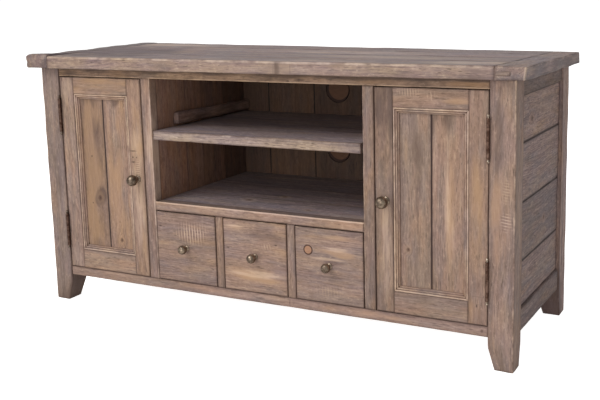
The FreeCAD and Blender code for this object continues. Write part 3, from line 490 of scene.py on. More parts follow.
def placed_marks(add, grain):
    """Masks from the attributes: how a knot pushes the grain, its halo, rim, heart and core, saw strokes,
    dents, and stains made ragged by the grain; and the patterns of the pushed grain."""
    masks = {}
    along, across, radius = parts_of(add, "knot")
    flat = add("CombineXYZ", [along, across])
    length = add("VectorMath LENGTH", [flat], "Value")
    masks["push"] = add(SMOOTH, [length, 0.6, 4.5, 1, 0])
    aside = add(TIMES, [add(TIMES, [across, radius]), masks["push"]])
    aside = add("CombineXYZ", [0, add(TIMES, [aside, -0.0008])])
    wobble = add("TexNoise", {"Vector": flat, "Scale": 1.1, "Detail": 3.0})
    away = add(TIMES_PLUS, [wobble, 1.1, length])
    for name, near, far in KNOT_PARTS:
        masks[name] = add(SMOOTH, [away, near, far, 1, 0])

    patterns = grain_patterns(add, add("VectorMath ADD", [grain, aside]))
    for name in ("saw", "dent"):
        along, across, strength = parts_of(add, name)
        flat = add("CombineXYZ", [along, across])
        away = add("VectorMath LENGTH", [flat], "Value")
        cloud = add("TexNoise", {"Vector": flat, "Scale": 1.9, "Detail": 3.0})
        away = add(TIMES_PLUS, [cloud, 1.1, away])
        patch = add(SMOOTH, [away, 0.7, 1.6, 1, 0])
        if name == "saw":
            ridge = add(TIMES, [saw_strokes(add, across, patterns["wave"]), patch])
            masks["saw_ridge"] = add(TIMES, [ridge, strength])
    masks["pale_dent"] = add(TIMES, [strength, patch], use_clamp=True)
    cut = add(TIMES, [strength, -1], use_clamp=True)
    masks["dark_dent"] = add(TIMES, [cut, patch])

    for amount, (name, pattern) in zip(parts_of(add, "stain"), STAIN_PATTERNS):
        ragged = add("MapRange", [patterns[pattern], 0.32, 0.66, 0.25, 1.6])
        ragged = add(TIMES, [amount, ragged])
        masks[name] = add(SMOOTH, [ragged, 0.12, 1, 0, 1])
    return masks, patterns


def saw_strokes(add, across, wave):
    """Strokes left by a saw across the grain: a sine of the length along the grain over their pitch, which
    leans a little."""
    along = parts_of(add, "grain")[0]
    count = add(TIMES, [along, 6283])
    count = add("Math DIVIDE", [count, parts_of(add, "teeth")[0]])
    lean = add(TIMES_PLUS, [across, 1.2, count])
    lean = add(TIMES_PLUS, [wave, 5, lean])
    return add(SMOOTH, [add("Math SINE", [lean]), 0.3, 0.98])


# %% The weathered pine material
GRAIN_LAYERS = (  # pattern, where its layer begins and where it is full, its strength, its colour
    ("band", 0.48, 0.78, 0.34, "dark"), ("band", 0.5, 0.22, 0.3, "pale"),
    ("streak", 0.5, 0.85, 0.3, "dark"), ("streak", 0.48, 0.16, 0.26, "pale"),
    ("fibre", 0.46, 0.2, 0.3, "pale"), ("mottle", 0.5, 0.76, 0.4, "dark"),
    ("mottle", 0.47, 0.24, 0.4, "pale"), ("fibre", 0.5, 0.8, 0.5, "dark"),
    ("pore", 0.62, 0.76, 0.7, "#3A2C25"))
MARK_LAYERS = (
    ("warm_stain", 0.62, "honey"), ("light_stain", 0.6, "pale"), ("dark_stain", 0.7, "dark"),
    ("dark_dent", 0.85, "#3E2A22"), ("pale_dent", 0.7, "pale"), ("saw_ridge", 0.55, "pale"),
    ("halo", 0.35, "honey"), ("rim", 0.55, "dark"), ("heart", 0.6, "#694A38"), ("core", 0.6, "#33251E"))
GRAIN_ORDER = {"x": (0, 1, 2), "y": (1, 0, 2), "z": (2, 0, 1)}
PITH_OFFSET = (0.013, 0.041, 0)


def weathered_pine(name, colours, greyness, warmth, contrast=1.0, roughness=0.62, along=None, joints=None):
    """Layers of colour from the broadest to the finest, each a mix steered by one mask. A worn board has
    its own attributes; a CAD node says along which axis its grain runs. joints is the pitch of upright
    boards in metres and the place of one joint."""
    code = dict(zip(("body", "pale", "dark", "grey", "honey"), colours.split()))
    material, add = new_material(name)
    if along:
        spot = add("SeparateXYZ", [add("TexCoord", out="Object")], XYZ)
        grain = [spot[a] for a in GRAIN_ORDER[along]]
        pith = add("VectorMath ADD", [add("CombineXYZ", grain[1:]), PITH_OFFSET])
        marks, patterns = {}, grain_patterns(add, add("CombineXYZ", grain))
        grey_in, honey_in = patterns["stain"], patterns["honey"]
    else:
        grain, pith = [add("Attribute", out="Vector", attribute_name=field) for field in ("grain", "pith")]
        marks, patterns = placed_marks(add, grain)
        warm, light, dirt = parts_of(add, "tone")
        rubbed, grime, edge = parts_of(add, "arris")
        grey_in = add(TIMES_PLUS, [warm, -0.15, patterns["stain"]])
        honey_in = add(TIMES_PLUS, [warm, 0.2, patterns["honey"]])
    rings = growth_rings(add, pith, patterns, marks.get("push"))

    grey_at, honey_at = 0.64 - 0.28 * greyness, 0.68 - 0.22 * warmth
    layers = [(add(SMOOTH, [grey_in, grey_at - 0.12, grey_at + 0.18, 0, 0.8]), "grey"),
              (add(SMOOTH, [honey_in, honey_at - 0.08, honey_at + 0.2, 0, 0.7]), "honey"),
              (add(TIMES, [rings, 0.38 * contrast]), "dark")]
    for pattern, begins, full, strength, tint in GRAIN_LAYERS:
        pore = add(SMOOTH, [patterns[pattern], begins, full, 0, strength * contrast])
        layers.append((pore, tint))
    height = add(TIMES_PLUS, [rings, 0.5, patterns["streak"]])
    height = add(TIMES_PLUS, [patterns["fibre"], 0.5, height])
    height = add(TIMES_PLUS, [pore, -1.2, height])
    if not along:
        height = add(TIMES_PLUS, [marks["saw_ridge"], 0.9, height])
        layers += [(add(TIMES, [marks[mark], full]), tint) for mark, full, tint in MARK_LAYERS]
        # Within EDGE_MM of an edge the wood darkens, and a darker line runs along the edge itself, both
        # scaled by the board's third tone number: dirt and painted shade, as where a moulding shades a
        # door panel. The grime on arrises is dark joints.
        cloudy = add("MapRange", [patterns["stain"], 0.35, 0.65, 0.1, 1.1])
        cloudy = add(TIMES, [cloudy, dirt])
        edge_dirt_and_shade = add(TIMES, [add(TIMES, [edge, edge]), cloudy], use_clamp=True)
        line = add(SMOOTH, [edge, 0.76, 0.98, 0, 0.9])
        line = add(TIMES, [line, dirt], use_clamp=True)
        rub = add("MapRange", [patterns["rub"], 0.3, 0.7, 0.1, 0.7])
        rub = add(SMOOTH, [add("Math SUBTRACT", [rubbed, rub]), -0.15, 0.6, 0, 0.7])
        layers += [(edge_dirt_and_shade, "dark"), (line, "#4A3027"), (add(TIMES, [grime, grime]), "#33201B"),
                   (rub, "pale")]
    if joints:
        number = add("Math DIVIDE", [add("Math ADD", [spot[0], -joints[1]]), joints[0]])
        board = add("TexWhiteNoise", {"W": add("Math FLOOR", [number])}, noise_dimensions="1D")
        # The back boards darken towards the side walls: painted shade in the compartment's corners.
        corner = add(SMOOTH, [add("Math ABSOLUTE", [spot[0]]), 0.15, 0.3, 0, 0.55])
        gap = add(SMOOTH, [add("Math PINGPONG", [number, 0.5]), 0.006, 0.018, 0.9, 0])
        layers += [(add("MapRange", [board, 0, 1, 0, 0.6]), "dark"), (corner, "dark"), (gap, "#120C0A")]

    colour = linear(code["body"])
    for mask, tint in layers:
        colour = add(MIX, {0: mask, 6: colour, 7: linear(code.get(tint, tint))}, 2)
    hue = add("Math ADD", [patterns["patch"], patterns["cloud"]])
    hue = add(SMOOTH, [hue, 0.78, 1.22])
    tint = add(MIX, {0: hue, 6: (1.02, 1.0, 0.95, 1), 7: (0.99, 0.98, 1.04, 1)}, 2)
    colour = add(MIX, {0: 1.0, 6: colour, 7: tint}, 2, blend_type="MULTIPLY")
    if not along:
        bright = add("Math POWER", [add("Math ADD", [light, 1]), 2.2])
        colour = add("HueSaturation", {"Value": bright, "Color": colour})
    bump = add("Bump", {"Strength": 0.4, "Distance": 0.0006, "Height": height})
    sheen = add("MapRange", [patterns["streak"], 0, 1, roughness - 0.1, roughness + 0.16])
    add("OutputMaterial", [add("BsdfPrincipled", {
        "Base Color": colour, "Roughness": sheen, "Normal": bump, "Specular IOR Level": 0.4, "IOR": 1.5})])
    return material


# %% The pines of this unit
# Stain gives each its tone, but the rail under the top takes a darker copy of the frame's pine, painted
# shade from the top's overhang. Wax gives the top a low sheen, and bare wood inside stays matt and warm.
INSIDE = "#9A7866 #BE9C87 #4F382F #80706A #A87A5A"
BACK = "#6F523E #8E7057 #3A2922 #604E43 #7D5A3C"
PINES = {  # name; body, pale, dark, grey and honey colours; greyness, warmth, contrast, roughness, ...
    "top_wood": ("pine_top_grey_waxed", "#8C746C #C6B09D #564647 #7A7073 #9D866E", 0.55, 0.35, 1.1, 0.45),
    "frame_wood": ("pine_frame_stained", "#92786A #CBB09B #57443A #83736D #A9866B", 0.45, 0.4, 0.9),
    "shaded_rail": ("pine_rail_under_the_top", "#94775F #C0A184 #46342A #82705F #A17C58", 0.3, 0.5, 1.1),
    "door_wood": ("pine_door_stained", "#967967 #C9AC94 #5A453B #88766B #A88667", 0.4, 0.5, 0.9),
    "moulding_wood": ("pine_moulding_waxed", "#957968 #D0B59F #4A352C #84756E #A6856B", 0.35, 0.4, 0.8),
    "drawer_wood": ("pine_drawer_stained", "#917768 #C5A992 #553F38 #83726D #AE8C6C", 0.42, 0.4, 0.9),
    "side_wood": ("pine_side_stained", "#866F67 #B8A194 #4A3B38 #766A6A #95765F", 0.5, 0.3, 1.2),
    "shelf_wood": ("pine_shelf_stained", "#877674 #C0AE9D #4A3E3E #787075 #A08A73", 0.5, 0.25, 1.1),
    "inside_wood": ("pine_inside_stained", INSIDE, 0.35, 0.45),
    "inside_along_x": ("pine_inside_lengthwise", INSIDE, 0.5, 0.45, 1.0, 0.62, "x"),
    "inside_along_y": ("pine_inside_front_to_back", INSIDE, 0.5, 0.45, 1.0, 0.62, "y"),
    "back_boards": ("pine_back_boards_upright", BACK, 0.5, 0.45, 1.0, 0.62, "z", (0.1545, -0.06375)),
}
for key, settings in PINES.items():
    FINISH[key] = weathered_pine(*settings)
print(len(FINISH), "pines")

# %% [markdown]
# ## Plugs, bronze and steel
#
# Knobs and hinges are brass castings, aged to a brown bronze and rubbed
# brighter where hands and the door's swing touch them. A metal has full
# metallic and keeps the default IOR; the ageing is a cloudy noise between two
# colours, a few millimetres across, and metal at the left is darkened with
# painted shade. The plugs that close the cable ports and a knot hole are turned
# from paler pine, with a dark glue line round them, which a painted shadow
# thickens at the lower left of each cable plug.

# %% A plug of paler pine
PLUG_STREAK = (0.06, 0, 0.5)
GLUE = (4.0, 3.0)  # mm from the rim where the glue line begins and where it is full


def round_plug(name, x, z, radius, dull, bright, crescent=0.0):
    """The distance from the plug's middle, in mm of the object's frame, steers a dark ring over a streaked
    ground; the last argument moves the ring's middle up and right, a painted shadow that thickens it at
    the lower left."""
    material, add = new_material(name)
    middle = (-(x + crescent) / 1000, 0, -(z + crescent) / 1000)
    own = add("VectorMath ADD", [add("TexCoord", out="Object"), middle])
    own = add("VectorMath MULTIPLY", [own, (1000, 0, 1000)])
    distance = add("VectorMath LENGTH", [own], "Value")
    streak = add("VectorMath MULTIPLY", [own, PLUG_STREAK])
    streak = add("TexNoise", {"Vector": streak, "Scale": 1.0, "Detail": 3.0})
    colour = add(MIX, {0: streak, 6: linear(dull), 7: linear(bright)}, 2)
    ring = add(SMOOTH, [distance, radius - GLUE[0], radius - GLUE[1], 0, 0.95])
    colour = add(MIX, {0: ring, 6: colour, 7: linear("#3E261D")}, 2)
    shader = add("BsdfPrincipled", {"Base Color": colour, "Roughness": 0.6, "Specular IOR Level": 0.4})
    add("OutputMaterial", [shader])
    return material


PORT_X, PORT_R = 13.5, 35.5
PLUG_X, PLUG_Z, PLUG_R = 154, 232, 13.2  # the plug in the front of drawer 3
for node, z in (("cable_plug_upper", 575.7), ("cable_plug_lower", 400.3)):
    FINISH[node] = round_plug("pine_" + node, PORT_X, z, PORT_R, "#5E402E", "#80593F", crescent=3.2)
FINISH["knot_plug"] = round_plug("pine_plug_over_a_knot", PLUG_X, PLUG_Z, PLUG_R, "#84604B", "#B38769")

# %% Aged bronze and plain steel
# Cast brass looks soft-edged and cloudy, pressed hinges duller, rubbed tips bright, rolled steel grey.
METALS = {  # name, rubbed and dull colour, roughness, size of the clouds in mm, painted shade at the left
    "bronze": ("brass_cast_aged_bronze", "#9A8977", "#695B4F", 0.38, 10, 0.3),
    "hinge_bronze": ("brass_pressed_brown_bronze", "#7A6256", "#4F392F", 0.5, 12, 0.3),
    "finial_bronze": ("brass_turned_rubbed_tips", "#C2B4A4", "#84705F", 0.3, 5, 0.7),
    "steel": ("steel_rolled_dull", "#8A8781", "#55524E", 0.42, 14, 0.0),
}
LEFT_SHADE_X = (-0.34, -0.28)  # metres: darkened up to the first, not at all from the second


def aged_metal(name, bright, dull, roughness, cloud_mm, left):
    """Metal whose colour wanders between a rubbed and a dull tone, in clouds of the given size."""
    material, add = new_material(name)
    spot = add("TexCoord", out="Object")
    cloud = add("TexNoise", {"Vector": spot, "Scale": 1000 / cloud_mm, "Detail": 4.0, "Roughness": 0.6})
    mask = add(SMOOTH, [cloud, 0.38, 0.62])
    colour = add(MIX, {0: mask, 6: linear(dull), 7: linear(bright)}, 2)
    # Everything left of about x = -0.3 m is darkened: painted shade on the left door's hinges and finials,
    # which lie in the shadow of the door's gap, and a darker left door knob.
    if left:
        left_shade = add("MapRange", [add("SeparateXYZ", [spot]), *LEFT_SHADE_X, left, 0])
        colour = add(MIX, {0: left_shade, 6: colour, 7: linear("#3B2C26")}, 2)
    rough = add("MapRange", [cloud, 0.3, 0.7, roughness + 0.15, roughness - 0.05])
    grit = add("TexNoise", {"Vector": spot, "Scale": 1400.0, "Detail": 2.0})
    bump = add("Bump", {"Strength": 0.15, "Distance": 0.0003, "Height": grit})
    add("OutputMaterial", [add("BsdfPrincipled", {
        "Base Color": colour, "Metallic": 1.0, "Roughness": rough, "Normal": bump})])
    return material


for key, settings in METALS.items():
    FINISH[key] = aged_metal(*settings)
print("metals:", ", ".join(METALS))

# %% [markdown]
# ## The top
#
# Four planks run lengthwise and end at a breadboard at each side, which keeps
# them flat. The front arris is the most worn edge of the whole unit. The marks
# of each board are placed one by one, as numbers in mm for along, across, half
# length and half width, then a strength. Stains are warm, or dark where the
# strength is negative, and some dark ones paint shade; lights are pale, and some
# paint light; dents are pale or dark too, a saw mark ends with the pitch of its
# strokes, and a knot has only a radius.

# %% Top planks and breadboards
SIDES = ((-1, "left", "-x", "+x"), (1, "right", "+x", "-x"))  # side, word, outer face, inner face
OVERLAP = 0.4  # mm that neighbouring boards of one piece run into each other, so that no gap shows light
TOP_X, BREADBOARD_X = 632, 700
TOP_Y, TOP_Z = (-242.6, 257.4), (664, 697)
LIFT = {"left": (0.0, 7.0), "right": (-2.0, -4.6)}  # mm that the front and the rear corner are raised
CURL_SHARE = 0.15  # of the depth, over which a curled front corner falls off
ROUND_X, ROUND_MM = 682, 25  # from where, and over how much, the curl is rounded off to the outside
LEAN_X = 680  # points further out than this lean


def span(side, near, far):
    """The x range of what lies between near and far from the middle, on the left (-1) or the right (1)."""
    return tuple(sorted((side * near, side * far)))


def between(joints, ends=False):
    """The ranges between neighbouring joints, each run on by OVERLAP, at the two ends only if asked."""
    last = len(joints) - 2
    return [(joints[i] - OVERLAP * (ends or i > 0), joints[i + 1] + OVERLAP * (ends or i < last))
            for i in range(last + 1)]


def hand_planed(left, right, lean=0.0, cup=0.0):
    """Raises a point by height times (the value between the four corners + cup exp(-share / CURL_SHARE)).
    The height is 0 at the lower and 1 at the upper face, and share runs from front to rear. lean pushes
    the outer front arris out."""
    def bend(places):
        places = places.copy()
        share_x = np.clip(places[:, 0] / (2 * TOP_X) + 0.5, 0, 1)
        share_y = (places[:, 1] - TOP_Y[0]) / (TOP_Y[1] - TOP_Y[0])
        height = (places[:, 2] - TOP_Z[0]) / (TOP_Z[1] - TOP_Z[0])
        from_left = left[0] + (left[1] - left[0]) * share_y
        from_right = right[0] + (right[1] - right[0]) * share_y
        rounded = 1 - np.clip((np.abs(places[:, 0]) - ROUND_X) / ROUND_MM, 0, 1) ** 2
        curl = cup * np.exp(-share_y / CURL_SHARE) * rounded
        places[:, 2] += height * (from_left + (from_right - from_left) * share_x + curl)
        places[:, 0] += lean * height * (1 - share_y) * (np.abs(places[:, 0]) > LEAN_X)
        return places
    return bend


planks = [
    dict(knots="-598 -212 7, -560 -150 5", front=(1.1, -0.06), tone=(-0.4, 0.05),
         soft={"-y+z": 4.5, "-y-z": 2.5}, pale={"-y+z": 0.6, "-y-z": 0.1},
         stains="108 -246 24 14 0.8, -240 -236 60 9 -0.6, -520 -170 170 40 -1.6, 76 -250 50 12 0.8, "
                "590 -250 44 12 0.7, 610 -250 50 12 -1.2, 80 -250 70 14 -0.7, 350 -250 240 12 -0.3",
         dents="131 -243 1.2 14 -0.5, 93 -243 14 3 -0.7, 100 -238 10 2 -0.7",
         lights="-560 -243 90 8 0.3, -100 -243 200 6 0.3, 560 -170 110 50 1, 200 -200 200 40 0.5"),
    dict(knots="-300 -90 6", tone=(-0.4, 0.04), lights="300 -60 300 60 0.6",
         stains="-100 -60 160 9 -0.7, 380 -30 120 7 -0.6, -540 -60 190 70 -2.4"),
    dict(knots="140 80 6", tone=(-0.4, 0.1), lights="150 60 260 60 0.6",
         stains="40 60 200 8 -0.6, -420 90 110 10 -0.7, -540 20 190 60 -2.2"),
    dict(knots="-300 190 6", tone=(-0.4, 0.08), stains="260 200 150 8 -0.6",
         lights="-500 190 160 40 1.1"),
]
boards = [worn_board((-TOP_X, TOP_X), y, TOP_Z, "x", 11 + i, ease=1.4, grime=0.55, dirt=0.4, wander=0.35,
                     step=(14, 9), bend=hand_planed(LIFT["left"], LIFT["right"]), **marks)
          for i, (y, marks) in enumerate(zip(between(np.linspace(*TOP_Y, 5)), planks))]
tongue = worn_board((634, 667), (-243.4, -222), (674, 683.6), "x", 18, face="y", ease=0.8, dirt=0.35,
                    tone=(0.8, 0.02))
left_end = worn_board((-707, -TOP_X), TOP_Y, TOP_Z, "y", 30, ease=1.6, wander=0.6, grime=0.3, dirt=0.15,
                      tone=(-0.3, -0.13), front=(0.8, 0.04), pale={"-y+z": 0.4, "-x+z": 0.4},
                      soft={"-y+z": 6.0, "-y-z": 4.0, "-x+z": 10.0, "-x-y": 11.0, "-x-z": 7.0},
                      stains="-236 -640 14 30 -0.6",
                      bend=hand_planed(LIFT["left"], LIFT["left"], cup=5.8))
right_end = worn_board((TOP_X, BREADBOARD_X), TOP_Y, TOP_Z, "y", 32, ease=1.4, wander=0.8, grime=0.55,
                       tone=(-0.2, 0.06), front=(0.4, -0.1), dirt=0.35,
                       soft={"-y+z": 4.0, "+x+z": 4.5, "+x-y": 5.0, "+x-z": 2.5},
                       pale={"-y+z": 0.4, "+x+z": 0.4, "+x-y": 0.8},
                       stains="-238 676 16 9 -0.5, 0 706 400 9 -1.5",
                       bend=hand_planed(LIFT["right"], LIFT["right"], lean=4.5))
for node, shapes in (("top_planks", boards + [tongue]), ("breadboard_left", [left_end]),
                     ("breadboard_right", [right_end])):
    piece(node, shapes, "carcass", "top_wood")
print("top pieces:", made_pieces)

# %% [markdown]
# ## Posts and face frame
#
# The posts stand 2 mm proud of the face frame, and each foot tapers on its two
# inner faces. The taper is a bend of the finished board: the lower a point
# lies, the more its distance from the outer faces is shortened.

# %% Posts
POST_X, POST_W, POST_Z = 675, 60, (0, 664)  # outer face, width and height
FRONT_Y, REAR_Y = -219.6, 252.4  # outer faces of the front and the rear posts
FOOT_H, FOOT_X, FOOT_Y = 53.0, 16.0, 12.0
POST_WEAR = {
    # On the left post, the dark stain at 20 -610 paints shade on the inner tapered face of the foot.
    "left": dict(stains="30 -630 70 30 -0.5, 8 -645 20 60 -0.5, 20 -610 60 9 -1.3, 420 -650 60 14 -0.5, "
                        "320 -640 60 30 -0.4",
                 lights="560 -650 70 12 0.4", tone=(-0.9, -0.08)),
    "right": dict(saws="420 656 36 12 0.7 6.5, 350 656 28 16 1.3 7",
                  stains="390 632 70 14 1.2, 280 632 60 12 0.7, 330 660 60 12 0.6, 560 636 90 16 -0.6, "
                         "20 640 50 14 -0.5, 490 632 60 10 -0.4",
                  lights="385 662 60 12 0.4, 480 655 60 10 0.3"),
}


def foot_taper(side, outer_y):
    """Below the knee, distances from the outer corner shrink in proportion to the depth below it."""
    def bend(places):
        below = np.clip((FOOT_H - places[:, 2]) / FOOT_H, 0, 1)
        outer_x = side * POST_X
        places = places.copy()
        places[:, 0] = outer_x + (places[:, 0] - outer_x) * (1 - below * FOOT_X / POST_W)
        places[:, 1] = outer_y + (places[:, 1] - outer_y) * (1 - below * FOOT_Y / POST_W)
        return places
    return bend


for side, word, out, inn in SIDES:
    x = span(side, POST_X - POST_W + 0.2, POST_X)
    front = worn_board(x, (FRONT_Y, FRONT_Y + POST_W), POST_Z, "z", 41 + side, face="y", ease=1.4,
                       wander=0.3, soft={out + "-y": 2.4}, pale={out + "-y": 0.6, inn + "-y": 0.15},
                       grime=0.35, step=(9, 8), bend=foot_taper(side, FRONT_Y), **POST_WEAR[word])
    rear = worn_board(x, (REAR_Y - POST_W, REAR_Y), POST_Z, "z", 51 + side, face="x", ease=1.6, wander=0.3,
                      soft={out + "+y": 2.4}, pale={out + "+y": 0.2, out + "-y": 0.15}, grime=0.4,
                      step=(9, 8), tone=(0.4, 0.1), stains="40 188 70 20 -2.2",
                      bend=foot_taper(side, REAR_Y))
    piece("front_post_" + word, [front], "carcass", "frame_wood")
    piece("rear_post_" + word, [rear], "carcass", "side_wood")

# %% Face frame
FRAME_Y = (-217.6, -189.6)
STILE_Z = (101, 642)
DIVIDER = dict(ease=1.2, pale={"-x-y": 0.2})
frame_boards = {  # node: x, z, direction of the grain, seed and wear of each board
    # On the top rail, the dark stain along z 667 paints the shadow of the top's overhang, and the light
    # along z 645 paints light on its lower edge.
    "top_rail": [((-615, 615), (642, 664.4), "x", 61, dict(
        tone=(0.2, -0.065), grime=0.4, dirt=0.4, pale={"-y-z": 0.8}, lights="0 645 4000 5 0.2",
        dents="144 650 22 3 -1, 110 646 8 4 -0.8",
        stains="0 667 4000 11 -1.7, -420 650 90 10 -0.4, 360 652 60 8 0.8, 560 650 70 8 0.8, "
               "-580 650 30 10 -0.8, 80 650 60 10 -1.2"))],
    "mid_rail": [((-307, 307), (291, 314.4), "x", 62, dict(
        soft={"-y+z": 1.8}, pale={"-y+z": 1.0}, grime=0.6, tone=(-0.9, -0.1), front=(1.2, 0.16)))],
    "bottom_rail": [((-615, 615), (76, 101), "x", 63, dict(
        pale={"-y-z": 0.3}, grime=0.4, tone=(0.1, -0.025), dents="98 88 1.5 10 -1, 601 89 5 5 -0.8",
        stains="-160 90 90 10 0.6, 380 90 120 10 0.5"))],
    "inner_stile_left": [((-336, -307), STILE_Z, "z", 64, dict(
        ease=1.3, soft={"+x-y": 2.0}, pale={"+x-y": 0.7}, grime=0.4, tone=(0.4, 0.03),
        stains="250 -320 80 8 -0.5, 170 -308 90 6 -1.3",
        lights="430 -309 160 3 1.3, 450 -318 90 12 0.8"))],
    "inner_stile_right": [((307, 336), STILE_Z, "z", 65, dict(
        ease=1.3, soft={"-x-y": 2.2}, pale={"-x-y": 0.5}, grime=0.4, tone=(0.3, -0.03)))],
    "drawer_dividers": [((-117, -95), (101, 291), "z", 66, dict(tone=(0.5, -0.1), **DIVIDER)),
                        ((95, 117), (101, 291), "z", 68, dict(tone=(-0.3, 0.0), **DIVIDER))],
}
for node, list_of_boards in frame_boards.items():
    boards = [worn_board(x, FRAME_Y, z, along, seed, face="y", **wear)
              for x, z, along, seed, wear in list_of_boards]
    piece(node, boards, "carcass", "shaded_rail" if node == "top_rail" else "frame_wood")
print("frame pieces:", list(frame_boards))

# %% [markdown]
# ## The sides
#
# Each side is closed by four horizontal boards between two rails. The joints
# between them are V grooves, dark with stain; the lower rail has a sloped upper
# edge.

# %% Side rails and boards
SIDE_Y = (-159.6, 192.4)
SIDE_JOINTS = (130, 239, 376.5, 514, 623)
side_marks = [dict(knots="-20 330 6", tone=(0.2, 0.09)), dict(knots="60 300 5", tone=(-0.3, -0.02)),
              dict(tone=(0.1, 0.11)), dict(knots="-60 560 7", tone=(0.5, 0.13))]
for side, word, out, inn in SIDES:
    x = span(side, 649, 671)
    rails = [worn_board(x, SIDE_Y, (76, SIDE_JOINTS[0]), "y", 71 + side, soft={out + "+z": 4.5}, grime=0.4,
                        tone=(-0.1, -0.1)),
             worn_board(x, SIDE_Y, (SIDE_JOINTS[-1], 664.4), "y", 74 + side, ease=1.3, tone=(0.5, -0.09))]
    boards = [worn_board(span(side, 652, 666), SIDE_Y, z, "y", 80 + 4 * i + side, ease=1.0, grime=1.0,
                         soft={out + "+z": 2.4, out + "-z": 2.4}, dirt=0.7, wander=0.25, **side_marks[i])
              for i, z in enumerate(between(SIDE_JOINTS, ends=True))]
    piece("side_rails_" + word, rails, "carcass", "side_wood")
    piece("side_boards_" + word, boards, "carcass", "side_wood")

# %% [markdown]
# ## The compartment
#
# Inside, upright boards make the walls, and lengthwise boards make the floor
# and the loose shelf. The front edge of the shelf is its most worn part. The
# battens over the shelf are old and sag towards the rear.

# %% Walls, floor, shelf and battens
WALL_JOINTS = (-189.6, -65.8, 13.2, 124.2, 237.0)
FLOOR_JOINTS = (-189.6, -72, 66, 237)
SHELF_JOINTS = (-215, -62, 88, 234.4)
BATTEN_Y, BATTEN_Z = (-123.4, 237), (511.0, 543.5)
SAG, SAG_Y, SAG_Z = 6, 360, 32  # mm that a batten's upper side falls, over which length, and its height
SAG_FROM = 0.4  # mm behind its front end, where it begins to fall

for side, word, out, inn in SIDES:
    # The wall boards get darker from the front board to the rear one: painted shade deeper in the
    # compartment.
    walls = [worn_board(span(side, 307.2, 325), y, (101, 664), "z", 101 + 5 * i + side, face="x", ease=0.7,
                        soft={inn + "-y": 0.9, inn + "+y": 0.9}, grime=0.45, dirt=0.25, tone=(0.5, light))
             for i, (y, light) in enumerate(zip(between(WALL_JOINTS), (0.02, -0.02, -0.14, -0.3)))]
    piece("partition_" + word, walls, "carcass", "inside_wood")

floor_marks = [
    dict(tone=(-0.3, 0.15), knots="-83 -106 8, 120 -150 5",
         stains="60 -110 150 8 -0.8, -160 -150 90 7 -0.6"),
    dict(tone=(-0.3, 0.12), knots="-12 -38 6", stains="-40 -30 160 8 -0.7"),
    dict(tone=(-0.3, 0.07)),
]
boards = [worn_board((-306.8, 306.8), y, (294, 314), "x", 121 + i, ease=1.2, grime=0.6, **floor_marks[i])
          for i, y in enumerate(between(FLOOR_JOINTS))]
piece("centre_floor", boards, "carcass", "shelf_wood")

shelf_marks = [
    dict(soft={"-y+z": 3.0, "-y-z": 2.0, "-x-y": 5.0},
         pale={"-y+z": 0.3, "-y-z": 0.15, "+x-y": 0.3, "-x-y": 0.3},
         stains="-40 -120 170 8 -0.8, 270 -212 70 12 -0.6"),
    dict(stains="100 0 170 9 -0.7"), {},
]
boards = [worn_board((-306, 300), y, (480, 504), "x", 131 + i, ease=1.3, wander=0.3, tone=(-0.4, 0.1),
                     front=(1.5, -0.07), **shelf_marks[i]) for i, y in enumerate(between(SHELF_JOINTS))]
piece("loose_shelf", boards, "loose_shelf", "shelf_wood")


def sagged(places):
    """The upper side falls by SAG from the front end to the rear one, the lower side not at all."""
    places = places.copy()
    down = np.clip((places[:, 1] - BATTEN_Y[0] - SAG_FROM) / SAG_Y, 0, 1)
    places[:, 2] -= SAG * down * np.clip((places[:, 2] - BATTEN_Z[0]) / SAG_Z, 0, 1)
    return places


battens = [worn_board(span(side, 289, 307), BATTEN_Y, BATTEN_Z, "y", 141 + side, face="x", ease=3.0,
                      soft={"-y+z": 6.4, "-y-z": 6.4, "+x-y": 6.0, "-x-y": 6.0}, pale={"-y+z": 0.2},
                      grime=0.3, dirt=0.3, wander=1.3, tone=(-1.0, -0.03), front=(0, -0.14), bend=sagged,
                      stains="-112 540 12 8 -0.8, -40 520 90 8 -0.6, 100 527 110 20 -0.6")
           for side in (-1, 1)]
piece("wall_battens", battens, "carcass", "inside_wood")
print("pieces so far:", len(made_pieces))

# %% [markdown]
# ## The doors
#
# Each door is a frame of two stiles and two rails around a panel of two upright
# boards. The marks that tell the left door from the right are placed one by
# one: knots, saw strokes across a rail, and honey-coloured streaks.

